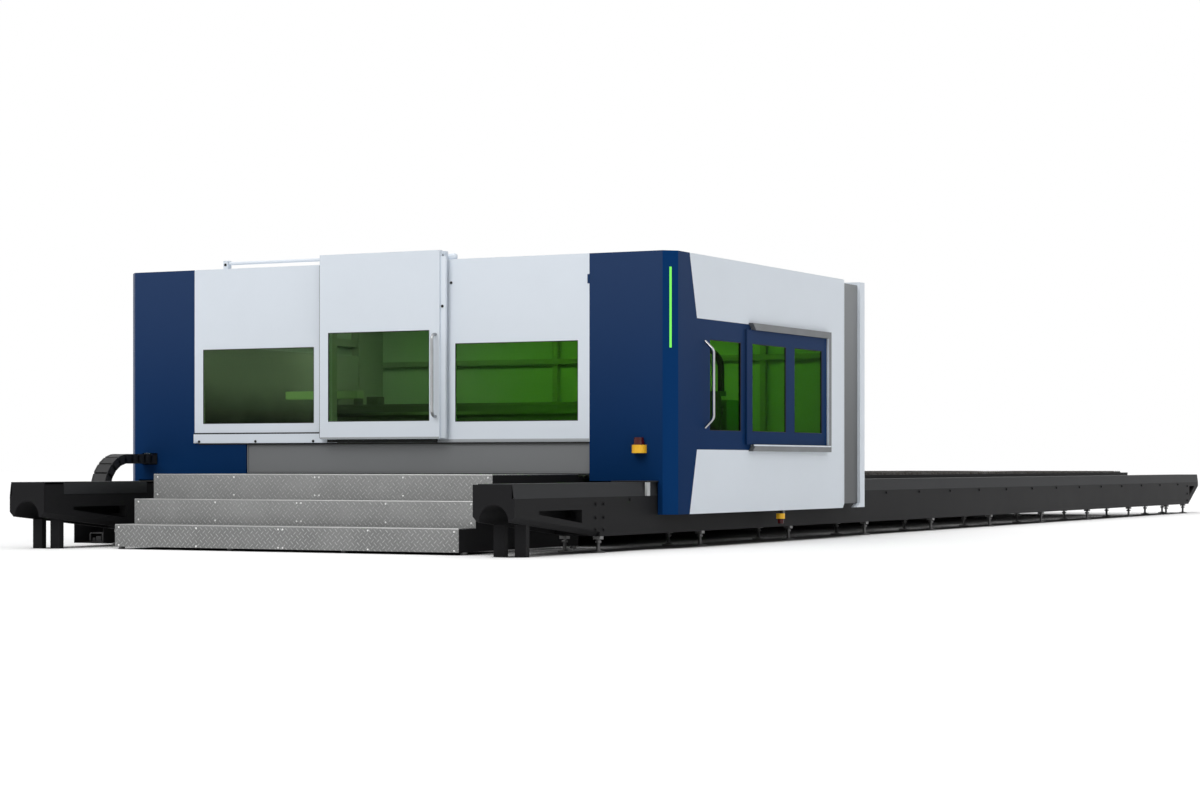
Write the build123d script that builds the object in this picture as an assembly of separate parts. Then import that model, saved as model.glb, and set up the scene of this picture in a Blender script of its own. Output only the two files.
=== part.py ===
"""Gantry fibre laser cutting machine: a long two-rail bed with a slat table, and a closed cabin that
travels over it carrying the cross beam and the cutting head. Millimetres, +Z up, +Y along the bed from
the stairs to the far end, origin on the floor at the middle of the machine."""

import os
from math import cos, pi, radians, sin, tan

from build123d import *

# Clearances and cuts
running_clearance = 0.3
panel_gap = 3
overrun = 20

# Bed: two box beams with a bracket at each end
bracket_length = 1425
beam_length = 19170
rear_bracket_length = 590
cabin_setback = 2485
beam_clearance = 57.5
chain_bay = 587.5
beam_width = 370
foot_height = 135
beam_height = 322

# Front brackets: arched tunnel, sloping underside, side window
tip_underside = 276
arch_radius = 130
arch_crown = 410
bracket_root = 180
bracket_chamfer = 40
bracket_window_start = 395
bracket_window_length = 720
bracket_window_top = 358
bracket_window_front_low = 330
bracket_window_rear_low = 250
end_plate = 15

# Rear brackets
rear_tip_underside = 400
rear_window_length = 300
rear_window_low = 250
rear_window_top = 400
rear_window_inset = 70

# Rail covers, guide rails and racks on the beams
cover_height = 115
cover_sheet = 6
cover_lean = 15
inner_strip_height = 95
inner_strip_sheet = 6
slot_width = 40
guide_width = 45
guide_height = 40
guide_end_gap = 25
guide_section_shares = ((0.5, 0.0), (0.5, 0.4), (0.34, 0.52), (0.34, 0.68), (0.5, 0.8), (0.5, 1.0))
rack_size = 30
rack_offset = 90

# Levelling feet
foot_pitch_share = 0.1043297
foot_pairs = 10
last_foot_gap = 210
foot_inset = 30
foot_pad_radius = 60
foot_pad_height = 14
foot_screw_radius = 15
foot_block_size = 64
foot_block_height = 25
foot_pad_sides = 8
foot_screw_sides = 6

# Front legs under the brackets
leg_setback = 255
leg_width = 100
leg_depth = 55
leg_sheet = 8

# Cutting table
table_side_gap = 352.5
table_length = 17460
table_front_gap = 60
table_side_top = 605
table_side_sheet = 50
table_ledge = 40
table_ledge_width = 90
cross_member_size = 120
cross_member_pitch = 2000
cross_member_start = 160
cross_members = 9
slat_top = 630
slat_height = 150
slat_sheet = 6
slat_pitch = 100
tray_sheet = 4
tray_flange = 60
tray_slope = 240
tray_bottom_z = 200

# Stairs in front of the cabin
stair_side_gap = 100
stair_step_count = 2
stair_riser_height = 213
stair_tread_depth = 270
stair_front_gap = 2100
stair_plate = 6
stair_floor_gap = 22
stringers = 4
stringer_sheet = 8
stair_foot_radius = 28
stair_foot_inset = 90

# Cable carrier and its trough
chain_inset = 175
chain_width = 160
chain_thickness = 90
chain_top = 820
chain_reach = 790
chain_inside = 300
chain_tail = 360
chain_links_pitch = 96
chain_link_share = 0.84
chain_core_share = 0.8
trough_width = 340
trough_height = 200
trough_sheet = 5
trough_lead = 120
trough_arm_width = 60
trough_arm_height = 50
chain_lift = 4

# Cabin outline
cabin_flat_half = 2795
corner_chamfer = 100
cabin_top = 2550
cabin_length = 3977
panel = 30
skirt_bottom = 294
front_bottom = 580
rail_notch = 15

# End trucks and their bearing blocks
block_length = 140
block_width = 100
block_top_rise = 70
block_floor_gap = 12
block_front = 500
block_rear_gap = 477
truck_plate = 20
truck_plate_reach = 70
web_sheet = 25
sill_bottom = 600
sill_top = 730
truck_front_gap = 5

# Wipers that keep the rail covers clean ahead of the cabin
wiper_lead = 225
wiper_cheek = 60
wiper_sheet = 20
wiper_plate = 12

# Drive motors
motor_rear_gap = 727
motor_inset = 120
gearbox_size = 180
gearbox_height = 150
motor_radius = 68
motor_height = 120

# Gantry beam and cross rails
gantry_y = 1900
gantry_depth = 320
gantry_height = 590
gantry_chamfer = 25
gantry_inset = 20
cross_rail_size = 30
cross_rail_low = 80
cross_rail_high = 480
cross_rail_inset = 50

# Cabin frame tubes
post = 80
corner_post_width = 100
frame_roof_drop = 30
mid_post_y = 1600
waist_rail = 2000
threshold_top = 910
doorway_left = -575
doorway_right = 565
portal_tie_drop = 140

# Front panels and windows
left_corner_width = 698
right_corner_width = 703
white_bottom = 920
blue_foot_length = 587
front_window_bottom = 1102
front_window_top = 1800
left_window_margin = 97
left_window_right = -756
right_window_left = 745
right_window_margin = 112
glass = 8
apron_sheet = 18
apron_bottom = 655
apron_lip = 12
guide_strip_bottom = 922
guide_strip_top = 1005
guide_strip_sheet = 20
guide_strip_margin = 37
guide_strip_right = -600
guide_strip_corner = 30

# Front sliding door and its roof rail
door_left = -640
door_right = 630
door_bottom = 952
door_top = 2630
door_proud = 80
door_depth = 54
door_sheet = 16
door_return = 34
door_window_left = -550
door_window_right = 525
door_window_bottom = 1110
door_window_top = 1920
door_rail_radius = 15
door_rail_y = 50
door_rail_z = 2602
door_rail_margin = 339
door_rail_right = 600
rail_block_width = 50
rail_block_depth = 60
rail_block_rise = 26
hanger_left = -430
hanger_right = 470
hanger_length = 90
hanger_wall = 13
hanger_arm = 14
door_handle_x = 590
door_handle_bottom = 1150
door_handle_top = 1880
door_handle_standoff = 62
door_handle_radius = 16
handle_bend = 45
handle_sides = 8

# Right side: panels, sliding door, pocket and silver frame
blue_slant_top_y = 330
blue_slant_y = 480
side_band_low = 852
side_band_high = 1993
rear_strip_width = 527
rear_bevel = 107
rear_bevel_depth = 24
side_door_rear = 1640
side_door_sheet = 25
side_door_inset = 2
side_window_front = 750
side_window_rear = 1418
side_window_bottom = 1020
side_window_top = 1820
pocket_front = 1505
pocket_overlap = 20
pocket_gap = 2
pocket_sheet = 18
pocket_bar = 62
pocket_bar_depth = 45
pocket_slant = 73
pocket_frame_low = 842
pocket_frame_high = 2005
pocket_frame_front = 1579
pocket_window_shares = ((0.06148, 0.46978), (0.57698, 0.93326))
side_handle_y = 650
side_handle_bottom = 1045
side_handle_top = 1800
side_handle_standoff = 82
side_handle_slope = 80
side_handle_radius = 14

# Rear section behind the side panels
band_length = 365
band_inset = 30
band_bottom = 336
hook_length = 90
portal_length = 124
portal_sheet = 60
portal_rise = 2
rear_panel_inset = 36

# Status light on the right front chamfer
led_bottom = 1720
led_top = 2410
led_width = 18
led_sheet = 8

# Safety scanners
scanner_width = 118
scanner_depth = 94
scanner_height = 70
scanner_dome_height = 64
scanner_dome_share = 0.76
scanner_dome_taper = 6
front_scanner_inset = 210
front_scanner_z = 820
side_scanner_y = 2398
side_scanner_z = 215
side_scanner_share = 0.7
scanner_hanger = 26

# Cross carriage and cutting head
carriage_park = 215
carriage_width = 420
carriage_sheet = 30
carriage_gap = 40
carriage_low = 30
carriage_rise = 35
carriage_shoe = 110
carriage_shoe_height = 76
base_height = 45
base_depth = 130
carriage_motor_radius = 60
carriage_motor_height = 230
carriage_chain_depth = 60
carriage_chain_thickness = 40
carriage_chain_span = 380
carriage_chain_rise = 210
slide_width = 180
slide_sheet = 32
slide_low = 780
slide_high = 1180
head_width = 150
head_depth = 150
head_low = 810
head_high = 1130
head_round = 35
barrel_radius = 38
barrel_low = 705
nozzle_low = 656
nozzle_radius = 8
nozzle_sides = 12

# Levels and planes worked out from the sizes above
bed_length = bracket_length + beam_length + rear_bracket_length
bed_front_y = -bed_length / 2
beam_front_y = bed_front_y + bracket_length
beam_rear_y = beam_front_y + beam_length
bed_rear_y = beam_rear_y + rear_bracket_length
front = bed_front_y + cabin_setback
beam_top = foot_height + beam_height
cover_top = beam_top + cover_height
bed_centre_x = (chain_bay - beam_clearance) / 2
rail_out = cabin_flat_half - (chain_bay + beam_clearance) / 2
rail_mid = rail_out - beam_width / 2
rail_in = rail_out - beam_width
foot_pitch = beam_length * foot_pitch_share
table_width = 2 * (rail_in - table_side_gap)
stair_width = table_width - stair_side_gap
chain_x = chain_inset - cabin_flat_half
cross_rail_half = rail_mid - cross_rail_inset
white_left = left_corner_width - cabin_flat_half
white_right = cabin_flat_half - right_corner_width
blue_foot_right = white_left + blue_foot_length
left_window_left = white_left + left_window_margin
right_window_right = white_right - right_window_margin
guide_strip_left = white_left + guide_strip_margin
door_rail_left = white_left + door_rail_margin
front_scanner_x = cabin_flat_half - front_scanner_inset
carriage_x = bed_centre_x + cross_rail_half - carriage_park
block_rear = cabin_length - block_rear_gap
motor_y = cabin_length - motor_rear_gap
side_rear_band_y = cabin_length - rear_strip_width
pocket_rear = side_rear_band_y + pocket_overlap
block_top = beam_top + block_top_rise
cabin_half = cabin_flat_half + corner_chamfer
frame_half = cabin_half - panel
side_rear = front + cabin_length
band_rear = side_rear + band_length
portal_rear = band_rear + portal_length
frame_top = cabin_top - frame_roof_drop
ring_low = frame_top - post
sides = (-1, 1)


def block(xs, ys, zs):
    """A box between two values on each axis."""
    size = [abs(b - a) for a, b in (xs, ys, zs)]
    middle = [(a + b) / 2 for a, b in (xs, ys, zs)]
    return Pos(*middle) * Box(*size)


def along_x(outline, x0, x1):
    """An outline of (y, z) points carried from x0 to x1."""
    face = make_face(Polyline(*[(x0, y, z) for y, z in outline], close=True))
    return extrude(face, amount=x1 - x0, dir=(1, 0, 0))


def along_y(outline, y0, y1):
    """An outline of (x, z) points carried from y0 to y1."""
    face = make_face(Polyline(*[(x, y0, z) for x, z in outline], close=True))
    return extrude(face, amount=y1 - y0, dir=(0, 1, 0))


def along_z(outline, z0, z1):
    """An outline of (x, y) points carried from z0 to z1."""
    face = make_face(Polyline(*[(x, y, z0) for x, y in outline], close=True))
    return extrude(face, amount=z1 - z0, dir=(0, 0, 1))


def bed_x(side, reach):
    """The x that lies a reach to one side of the bed's centre line."""
    return bed_centre_x + side * reach


def rod_x(radius, x0, x1, y, z):
    """A round bar along X."""
    return Pos((x0 + x1) / 2, y, z) * Rot(0, 90, 0) * Cylinder(radius, x1 - x0)


def save(name, *shapes):
    """Writes one node, as one solid or a group of separate solids."""
    solids = [solid for shape in shapes for solid in shape.solids()]
    export_step(solids[0] if len(solids) == 1 else Compound(children=solids), f"parts/{name}.step")


os.makedirs("parts", exist_ok=True)


# Bed beams: box sections with a low upright strip along the inner edge
def beam(side):
    outline = (
        (rail_in, foot_height),
        (rail_out, foot_height),
        (rail_out, beam_top),
        (rail_in + inner_strip_sheet, beam_top),
        (rail_in + inner_strip_sheet, beam_top + inner_strip_height),
        (rail_in, beam_top + inner_strip_height),
    )
    return along_y([(bed_x(side, d), z) for d, z in outline], beam_front_y, beam_rear_y)


save("bed_beams", *[beam(side) for side in sides])


# Front brackets: arched in section, deeper towards the beam, with a window in each cheek
def front_bracket(side):
    profile = (
        (bed_front_y, tip_underside),
        (beam_front_y, foot_height),
        (beam_front_y, beam_top),
        (bed_front_y, beam_top),
    )
    body = along_x(profile, bed_x(side, rail_in), bed_x(side, rail_out))
    underside = body.faces().sort_by(Axis.Z)[0]
    long_edges = underside.edges().sort_by(SortBy.LENGTH)[-2:]
    body = chamfer(long_edges, bracket_chamfer)
    arch_z = arch_crown - arch_radius
    tunnel_end = beam_front_y - bracket_root
    tunnel_y = (bed_front_y - overrun, tunnel_end)
    tunnel_length = tunnel_y[1] - tunnel_y[0]
    middle = bed_x(side, rail_mid)
    crown = Pos(middle, sum(tunnel_y) / 2, arch_z) * Rot(90, 0, 0) * Cylinder(arch_radius, tunnel_length)
    below = block((middle - arch_radius, middle + arch_radius), tunnel_y, (0, arch_z))
    window_y = bed_front_y + bracket_window_start
    window = (
        (window_y, bracket_window_front_low),
        (window_y + bracket_window_length, bracket_window_rear_low),
        (window_y + bracket_window_length, bracket_window_top),
        (window_y, bracket_window_top),
    )
    reach = (bed_x(side, rail_in - overrun), bed_x(side, rail_out + overrun))
    body = body - crown - below - along_x(window, *reach)
    strip = block(
        (bed_x(side, rail_in), bed_x(side, rail_in + inner_strip_sheet)),
        (bed_front_y, beam_front_y),
        (beam_top, beam_top + inner_strip_height),
    )
    plate = block(
        (bed_x(side, rail_in), bed_x(side, rail_out - cover_lean - cover_sheet - panel_gap)),
        (bed_front_y, bed_front_y + end_plate),
        (beam_top, cover_top - cover_sheet),
    )
    return body + strip + plate


save("front_brackets", *[front_bracket(side) for side in sides])


# Rear brackets: short sloping cantilevers with a triangular window
def rear_bracket(side):
    profile = (
        (beam_rear_y, foot_height),
        (bed_rear_y, rear_tip_underside),
        (bed_rear_y, beam_top),
        (beam_rear_y, beam_top),
    )
    body = along_x(profile, bed_x(side, rail_in), bed_x(side, rail_out))
    window_y = beam_rear_y + rear_window_inset
    window = (
        (window_y, rear_window_low),
        (window_y + rear_window_length, rear_window_top),
        (window_y, rear_window_top),
    )
    body = body - along_x(window, bed_x(side, rail_in - overrun), bed_x(side, rail_out + overrun))
    plate = block(
        (bed_x(side, rail_in), bed_x(side, rail_out - cover_lean - cover_sheet - panel_gap)),
        (bed_rear_y - end_plate, bed_rear_y),
        (beam_top, cover_top - cover_sheet),
    )
    return body + plate


save("rear_brackets", *[rear_bracket(side) for side in sides])


# Rail covers: one folded sheet a side, leaning outer face and flat top, open along the inner edge
def rail_cover(side):
    inner_edge = rail_in + inner_strip_sheet + slot_width
    outline = (
        (rail_out, beam_top),
        (rail_out - cover_lean, cover_top),
        (inner_edge, cover_top),
        (inner_edge, cover_top - cover_sheet),
        (rail_out - cover_lean - cover_sheet, cover_top - cover_sheet),
        (rail_out - cover_sheet, beam_top),
    )
    return along_y([(bed_x(side, d), z) for d, z in outline], bed_front_y, bed_rear_y)


save("rail_covers", *[rail_cover(side) for side in sides])


# Guide rails: waisted bars bolted along the top of each beam
def guide_rail(side):
    half = [(across * guide_width, up * guide_height) for across, up in guide_section_shares]
    outline = half + [(-across, up) for across, up in reversed(half)]
    placed = [(bed_x(side, rail_mid) + across, beam_top + up) for across, up in outline]
    return along_y(placed, beam_front_y + guide_end_gap, beam_rear_y - guide_end_gap)


def rack(side):
    start = rail_mid + rack_offset
    xs = (bed_x(side, start), bed_x(side, start + rack_size))
    ys = (beam_front_y + guide_end_gap, beam_rear_y - guide_end_gap)
    return block(xs, ys, (beam_top, beam_top + rack_size))


save("guide_rails", *[guide_rail(side) for side in sides])
save("racks", *[rack(side) for side in sides])

# Levelling feet: a pair under each beam at every station, a block above each, and feet under the stairs
stations = [beam_front_y + foot_pitch * n for n in range(foot_pairs)] + [beam_rear_y - last_foot_gap]
stations[0] = beam_front_y + foot_block_size / 2
foot_reaches = (rail_in + foot_inset, rail_out - foot_inset)
foot_places = [(bed_x(side, reach), y) for side in sides for reach in foot_reaches for y in stations]
block_low = foot_height - foot_block_height


def prism(radius, sides_count, x, y, z0, z1):
    """An upright bar of many flat sides."""
    return extrude(Pos(x, y, z0) * RegularPolygon(radius, sides_count), amount=z1 - z0)


def levelling_foot(x, y):
    pad = prism(foot_pad_radius, foot_pad_sides, x, y, 0, foot_pad_height)
    screw = prism(foot_screw_radius, foot_screw_sides, x, y, foot_pad_height, block_low)
    return pad + screw


def foot_block(x, y):
    half = foot_block_size / 2
    return block((x - half, x + half), (y - half, y + half), (block_low, foot_height))


stair_right = bed_x(1, table_width / 2)
stair_left = stair_right - stair_width
stair_front = front - stair_front_gap
landing_rear = front - table_front_gap
stair_foot_ys = (stair_front + stair_foot_inset, (stair_front + landing_rear) / 2, landing_rear - stair_foot_inset)
stringer_gap = (stair_width - stringer_sheet) / (stringers - 1)
stringer_lefts = [stair_left + stringer_gap * n for n in range(stringers)]
stair_foot_xs = [left + stringer_sheet / 2 for left in stringer_lefts]


def stair_foot(x, y):
    return prism(stair_foot_radius, foot_pad_sides, x, y, 0, stair_floor_gap)


feet = [levelling_foot(x, y) for x, y in foot_places]
save("levelling_feet", *feet, *[stair_foot(x, y) for x in stair_foot_xs for y in stair_foot_ys])
save("foot_blocks", *[foot_block(x, y) for x, y in foot_places])


# Front legs: two folded channels under each bracket, cut to its slope
def front_leg(side, reach, towards):
    y0 = bed_front_y + leg_setback
    y1 = y0 + leg_depth
    slope = (tip_underside - foot_height) / bracket_length
    tops = [tip_underside - slope * (y - bed_front_y) for y in (y0, y1)]
    outline = ((y0, 0), (y1, 0), (y1, tops[1]), (y0, tops[0]))
    outer = along_x(outline, bed_x(side, reach), bed_x(side, reach + towards))
    hollow_xs = (bed_x(side, reach + leg_sheet), bed_x(side, reach + towards - leg_sheet))
    if towards < 0:
        hollow_xs = (bed_x(side, reach - leg_sheet), bed_x(side, reach + towards + leg_sheet))
    return outer - block(hollow_xs, (y0 + leg_sheet, y1 + overrun), (-overrun, tip_underside + overrun))


leg_reaches = ((rail_in + bracket_chamfer, leg_width), (rail_out - bracket_chamfer, -leg_width))
save("front_legs", *[front_leg(side, reach, towards) for side in sides for reach, towards in leg_reaches])

# Cutting table: cross members between the beams, side frames on them, slats across and scrap trays below
table_front = front - table_front_gap
table_rear = table_front + table_length
table_half = table_width / 2
ledge_low = slat_top - slat_height - table_ledge
member_ys = [front + cross_member_start + cross_member_pitch * n for n in range(cross_members)]


def cross_member(y):
    xs = (bed_x(-1, rail_in), bed_x(1, rail_in))
    return block(xs, (y, y + cross_member_size), (ledge_low - cross_member_size, ledge_low))


def table_side(side):
    outline = (
        (table_half, ledge_low),
        (table_half, table_side_top),
        (table_half - table_side_sheet, table_side_top),
        (table_half - table_side_sheet, ledge_low + table_ledge),
        (table_half - table_ledge_width, ledge_low + table_ledge),
        (table_half - table_ledge_width, ledge_low),
    )
    return along_y([(bed_x(side, d), z) for d, z in outline], table_front, table_rear)


def slat(y):
    reach = table_half - table_side_sheet
    return block((bed_x(-1, reach), bed_x(1, reach)), (y, y + slat_sheet), (slat_top - slat_height, slat_top))


def scrap_tray(y0, y1):
    rim = table_half - table_ledge_width + tray_flange
    shoulder = rim - tray_flange
    floor = shoulder - tray_slope
    half = (
        (rim, ledge_low),
        (rim, ledge_low - tray_sheet),
        (shoulder, ledge_low - tray_sheet),
        (floor, tray_bottom_z),
    )
    top = (
        (floor - tray_sheet, tray_bottom_z + tray_sheet),
        (shoulder - tray_sheet, ledge_low),
    )
    lower = [(bed_x(1, d), z) for d, z in half] + [(bed_x(-1, d), z) for d, z in reversed(half)]
    upper = [(bed_x(-1, d), z) for d, z in reversed(top)] + [(bed_x(1, d), z) for d, z in top]
    return along_y(lower + upper, y0, y1)


slat_count = int(table_length // slat_pitch)
tray_gap = overrun / 2
save("cross_members", *[cross_member(y) for y in member_ys])
save("table_side_frames", *[table_side(side) for side in sides])
save("support_slats", *[slat(table_front + slat_pitch * (n + 0.5)) for n in range(slat_count)])
tray_spans = [(a + cross_member_size + tray_gap, b - tray_gap) for a, b in zip(member_ys, member_ys[1:])]
save("scrap_trays", *[scrap_tray(y0, y1) for y0, y1 in tray_spans])

# Stairs: folded checker-plate steps on stepped stringers, with a deep landing at the cabin
step_fronts = [stair_front + stair_tread_depth * n for n in range(stair_step_count + 1)]
step_tops = [stair_riser_height * (n + 1) for n in range(stair_step_count + 1)]


def folded_step(y0, y1, low, top):
    outline = (
        (y0, low),
        (y0, top),
        (y1, top),
        (y1, top - stair_plate),
        (y0 + stair_plate, top - stair_plate),
        (y0 + stair_plate, low),
    )
    return along_x(outline, stair_left, stair_right)


def step(n):
    low = stair_floor_gap if n == 0 else step_tops[n - 1]
    rear = landing_rear if n == stair_step_count else step_fronts[n + 1] + stair_plate
    return folded_step(step_fronts[n], rear, low, step_tops[n])


def stringer(left):
    outline = [(step_fronts[0] + stair_plate, stair_floor_gap)]
    for n in range(stair_step_count + 1):
        rear = landing_rear if n == stair_step_count else step_fronts[n + 1] + stair_plate
        outline += [(step_fronts[n] + stair_plate, step_tops[n] - stair_plate)]
        outline += [(rear, step_tops[n] - stair_plate)]
    outline += [(landing_rear, stair_floor_gap)]
    return along_x(outline, left, left + stringer_sheet)


save("stair_steps", *[step(n) for n in range(stair_step_count)])
save("stair_landing", step(stair_step_count))
save("stair_stringers", *[stringer(left) for left in stringer_lefts])


# Cable carrier: a trough held to the left beam by arms, the run in it, and the loop that the cabin carries
def chain_trough():
    x0 = chain_x - trough_width / 2
    x1 = chain_x + trough_width / 2
    outline = (
        (x0, 0),
        (x1, 0),
        (x1, trough_height),
        (x1 - trough_sheet, trough_height),
        (x1 - trough_sheet, trough_sheet),
        (x0 + trough_sheet, trough_sheet),
        (x0 + trough_sheet, trough_height),
        (x0, trough_height),
    )
    trough = along_y(outline, front - chain_reach - trough_lead, beam_rear_y)
    for y in stations[1:-1]:
        arm_ys = (y - trough_arm_width / 2, y + trough_arm_width / 2)
        arm_zs = (trough_height - trough_arm_height, trough_height)
        trough += block((x1 - trough_sheet, bed_x(-1, rail_out)), arm_ys, arm_zs)
    return trough


chain_xs = (chain_x - chain_width / 2, chain_x + chain_width / 2)
run_top = trough_sheet + chain_thickness
loop_low = run_top + chain_lift
loop_radius = (chain_top - loop_low) / 2
loop_mid = loop_radius - chain_thickness / 2
loop_y = front - chain_reach + loop_radius
loop_z = chain_top - loop_radius


def chain_point(s):
    """Place and turn, in the YZ plane, at a length s along the carrier's middle line from the cabin."""
    upper = front + chain_inside - loop_y
    bend = pi * loop_mid
    if s <= upper:
        return loop_y + upper - s, loop_z + loop_mid, 0
    if s <= upper + bend:
        turn = (s - upper) / loop_mid
        return loop_y - loop_mid * sin(turn), loop_z + loop_mid * cos(turn), turn * 180 / pi
    return loop_y + (s - upper - bend), loop_z - loop_mid, 180


def chain_loop():
    """Links in a row on a slimmer core, all carried across the carrier's width."""
    plane = Plane(origin=(chain_xs[0], 0, 0), x_dir=(0, 1, 0), z_dir=(1, 0, 0))
    core_half = chain_thickness * chain_core_share / 2
    ring = Circle(loop_mid + core_half) - Circle(loop_mid - core_half)
    front_half = Pos(-loop_radius, 0) * Rectangle(2 * loop_radius, 4 * loop_radius)
    bend = Pos(loop_y, loop_z) * (ring & front_half)
    upper = front + chain_inside - loop_y
    top_run = Pos(loop_y + upper / 2, loop_z + loop_mid) * Rectangle(upper, 2 * core_half)
    low_run = Pos(loop_y + chain_tail / 2, loop_z - loop_mid) * Rectangle(chain_tail, 2 * core_half)
    core = extrude(plane * (bend + top_run + low_run), amount=chain_width * chain_core_share)
    core = Pos(chain_width * (1 - chain_core_share) / 2, 0, 0) * core
    total = upper + pi * loop_mid + chain_tail
    count = int(total // chain_links_pitch)
    link = Rectangle(chain_links_pitch * chain_link_share, chain_thickness)
    for n in range(count):
        y, z, turn = chain_point(chain_links_pitch * (n + 0.5))
        core += extrude(plane * (Pos(y, z) * Rot(0, 0, turn) * link), amount=chain_width)
    return core


save("chain_trough", chain_trough())
save("chain_lower_run", block(chain_xs, (front - chain_reach, beam_rear_y), (trough_sheet, run_top)))
save("chain_loop", chain_loop())


# End trucks: a foot plate under the rail cover, a web up through its slot and a wide sill above
def end_truck(side):
    web_in = rail_in + inner_strip_sheet + (slot_width - web_sheet) / 2
    web_out = web_in + web_sheet
    plate_out = rail_mid + truck_plate_reach
    sill_out = frame_half - side * bed_centre_x
    outline = (
        (web_in, block_top),
        (plate_out, block_top),
        (plate_out, block_top + truck_plate),
        (web_out, block_top + truck_plate),
        (web_out, sill_bottom),
        (sill_out, sill_bottom),
        (sill_out, sill_top),
        (web_in, sill_top),
    )
    placed = [(bed_x(side, d), z) for d, z in outline]
    return along_y(placed, front + corner_chamfer + truck_front_gap, side_rear)


# Bearing blocks: saddles that straddle the guide rails
def bearing_block(side, y):
    middle = bed_x(side, rail_mid)
    half = block_width / 2
    groove = guide_width / 2 + running_clearance
    ys = (y, y + block_length)
    body = block((middle - half, middle + half), ys, (beam_top + block_floor_gap, block_top))
    groove_ys = (y - overrun, y + block_length + overrun)
    groove_zs = (beam_top, beam_top + guide_height + running_clearance)
    return body - block((middle - groove, middle + groove), groove_ys, groove_zs)


# Rail wipers: a plate over each rail cover with a cheek down its outer side, fixed to the cabin's front
def rail_wiper(side):
    outer = rail_out + running_clearance
    inner_edge = rail_in + inner_strip_sheet + slot_width
    ys = (front - wiper_lead, front)
    xs = (bed_x(side, inner_edge), bed_x(side, outer + wiper_sheet))
    plate_low = cover_top + running_clearance
    plate_top = plate_low + wiper_plate
    plate = block(xs, ys, (plate_low, plate_top))
    cheek_xs = (bed_x(side, outer), bed_x(side, outer + wiper_sheet))
    cheek_ys = (front - wiper_lead, front - wiper_lead + wiper_cheek)
    return plate + block(cheek_xs, cheek_ys, (beam_top, plate_top))


# Drive motors: a gearbox on each sill with an upright motor
def drive_motor(side):
    middle = bed_x(side, rail_in + motor_inset)
    half = gearbox_size / 2
    y = front + motor_y
    gearbox = block((middle - half, middle + half), (y - half, y + half), (sill_top, sill_top + gearbox_height))
    gearbox = chamfer(gearbox.edges().filter_by(Axis.Z), half / 4)
    motor_low = sill_top + gearbox_height
    motor = Pos(middle, y, motor_low + motor_height / 2) * Cylinder(motor_radius, motor_height)
    return gearbox + motor


block_ys = (front + block_front, front + block_rear)
save("end_trucks", *[end_truck(side) for side in sides])
blocks = [bearing_block(side, y) for side in sides for y in block_ys]
save("bearing_blocks", *blocks, *[rail_wiper(side) for side in sides])
save("drive_motors", *[drive_motor(side) for side in sides])

# Gantry beam across the cabin, with two rails on its front face
gantry_front = front + gantry_y
gantry_xs = (bed_x(-1, rail_mid - gantry_inset), bed_x(1, rail_mid - gantry_inset))
gantry = block(gantry_xs, (gantry_front, gantry_front + gantry_depth), (sill_top, sill_top + gantry_height))
save("gantry_beam", chamfer(gantry.edges().filter_by(Axis.X), gantry_chamfer))
cross_rail_zs = [sill_top + rise for rise in (cross_rail_low, cross_rail_high)]
cross_rail_xs = (bed_x(-1, cross_rail_half), bed_x(1, cross_rail_half))
cross_rail_ys = (gantry_front - cross_rail_size, gantry_front)
save("cross_rails", *[block(cross_rail_xs, cross_rail_ys, (z, z + cross_rail_size)) for z in cross_rail_zs])


# Cabin frame: square tubes butted together, standing on the sills
def cabin_frame():
    tubes = []
    post_front = front + panel + post
    post_rear = side_rear - post
    post_in = frame_half - post
    for side in sides:
        corner_in = side * (frame_half - corner_post_width)
        outer = side * frame_half
        inner = side * post_in
        tubes += [block((corner_in, outer), (post_front, post_front + post), (sill_top, frame_top))]
        tubes += [block((corner_in, outer), (post_rear, side_rear), (sill_top, frame_top))]
        tubes += [block((inner, outer), (post_front + post, post_rear), (ring_low, frame_top))]
        mid_ys = (front + mid_post_y, front + mid_post_y + post)
        tubes += [block((inner, outer), mid_ys, (sill_top, ring_low))]
        for ys in ((post_front + post, mid_ys[0]), (mid_ys[1], post_rear)):
            tubes += [block((inner, outer), ys, (waist_rail, waist_rail + post))]
        tie_zs = (frame_top - portal_tie_drop, frame_top - portal_tie_drop + post)
        tie_out = frame_half - band_inset
        tie_xs = (side * (tie_out - post), side * tie_out)
        tubes += [block(tie_xs, (side_rear, portal_rear - rear_panel_inset - panel), tie_zs)]
    front_ys = (front + panel, front + panel + post)
    front_reach = cabin_flat_half - corner_chamfer / 4
    tubes += [block((-front_reach, front_reach), front_ys, (threshold_top - post, threshold_top))]
    tubes += [block((-front_reach, front_reach), front_ys, (ring_low, frame_top))]
    rear_reach = frame_half - corner_post_width
    tubes += [block((-rear_reach, rear_reach), (post_rear, side_rear), (ring_low, frame_top))]
    jambs = (doorway_left - post, doorway_right, white_left - post / 2, white_right - post / 2)
    tubes += [block((left, left + post), front_ys, (threshold_top, ring_low)) for left in jambs]
    return tubes


save("cabin_frame", *cabin_frame())


# Front corner panels: flat blue sheets folded round a chamfer, dropping outside the rails as a skirt
def corner_panel(side, inner_x):
    fold = panel * tan(radians(22.5))
    inner_chamfer = cabin_flat_half - fold
    outline = (
        (side * inner_x, front),
        (side * cabin_flat_half, front),
        (side * cabin_half, front + corner_chamfer),
        (side * (inner_chamfer + corner_chamfer - panel), front + corner_chamfer),
        (side * inner_chamfer, front + panel),
        (side * inner_x, front + panel),
    )
    notch_edge = cabin_flat_half - panel - rail_notch
    notch = block(
        (side * (inner_x - overrun), side * notch_edge),
        (front - overrun, front + corner_chamfer + overrun),
        (skirt_bottom - overrun, front_bottom),
    )
    return along_z(outline, skirt_bottom, cabin_top) - notch


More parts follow.
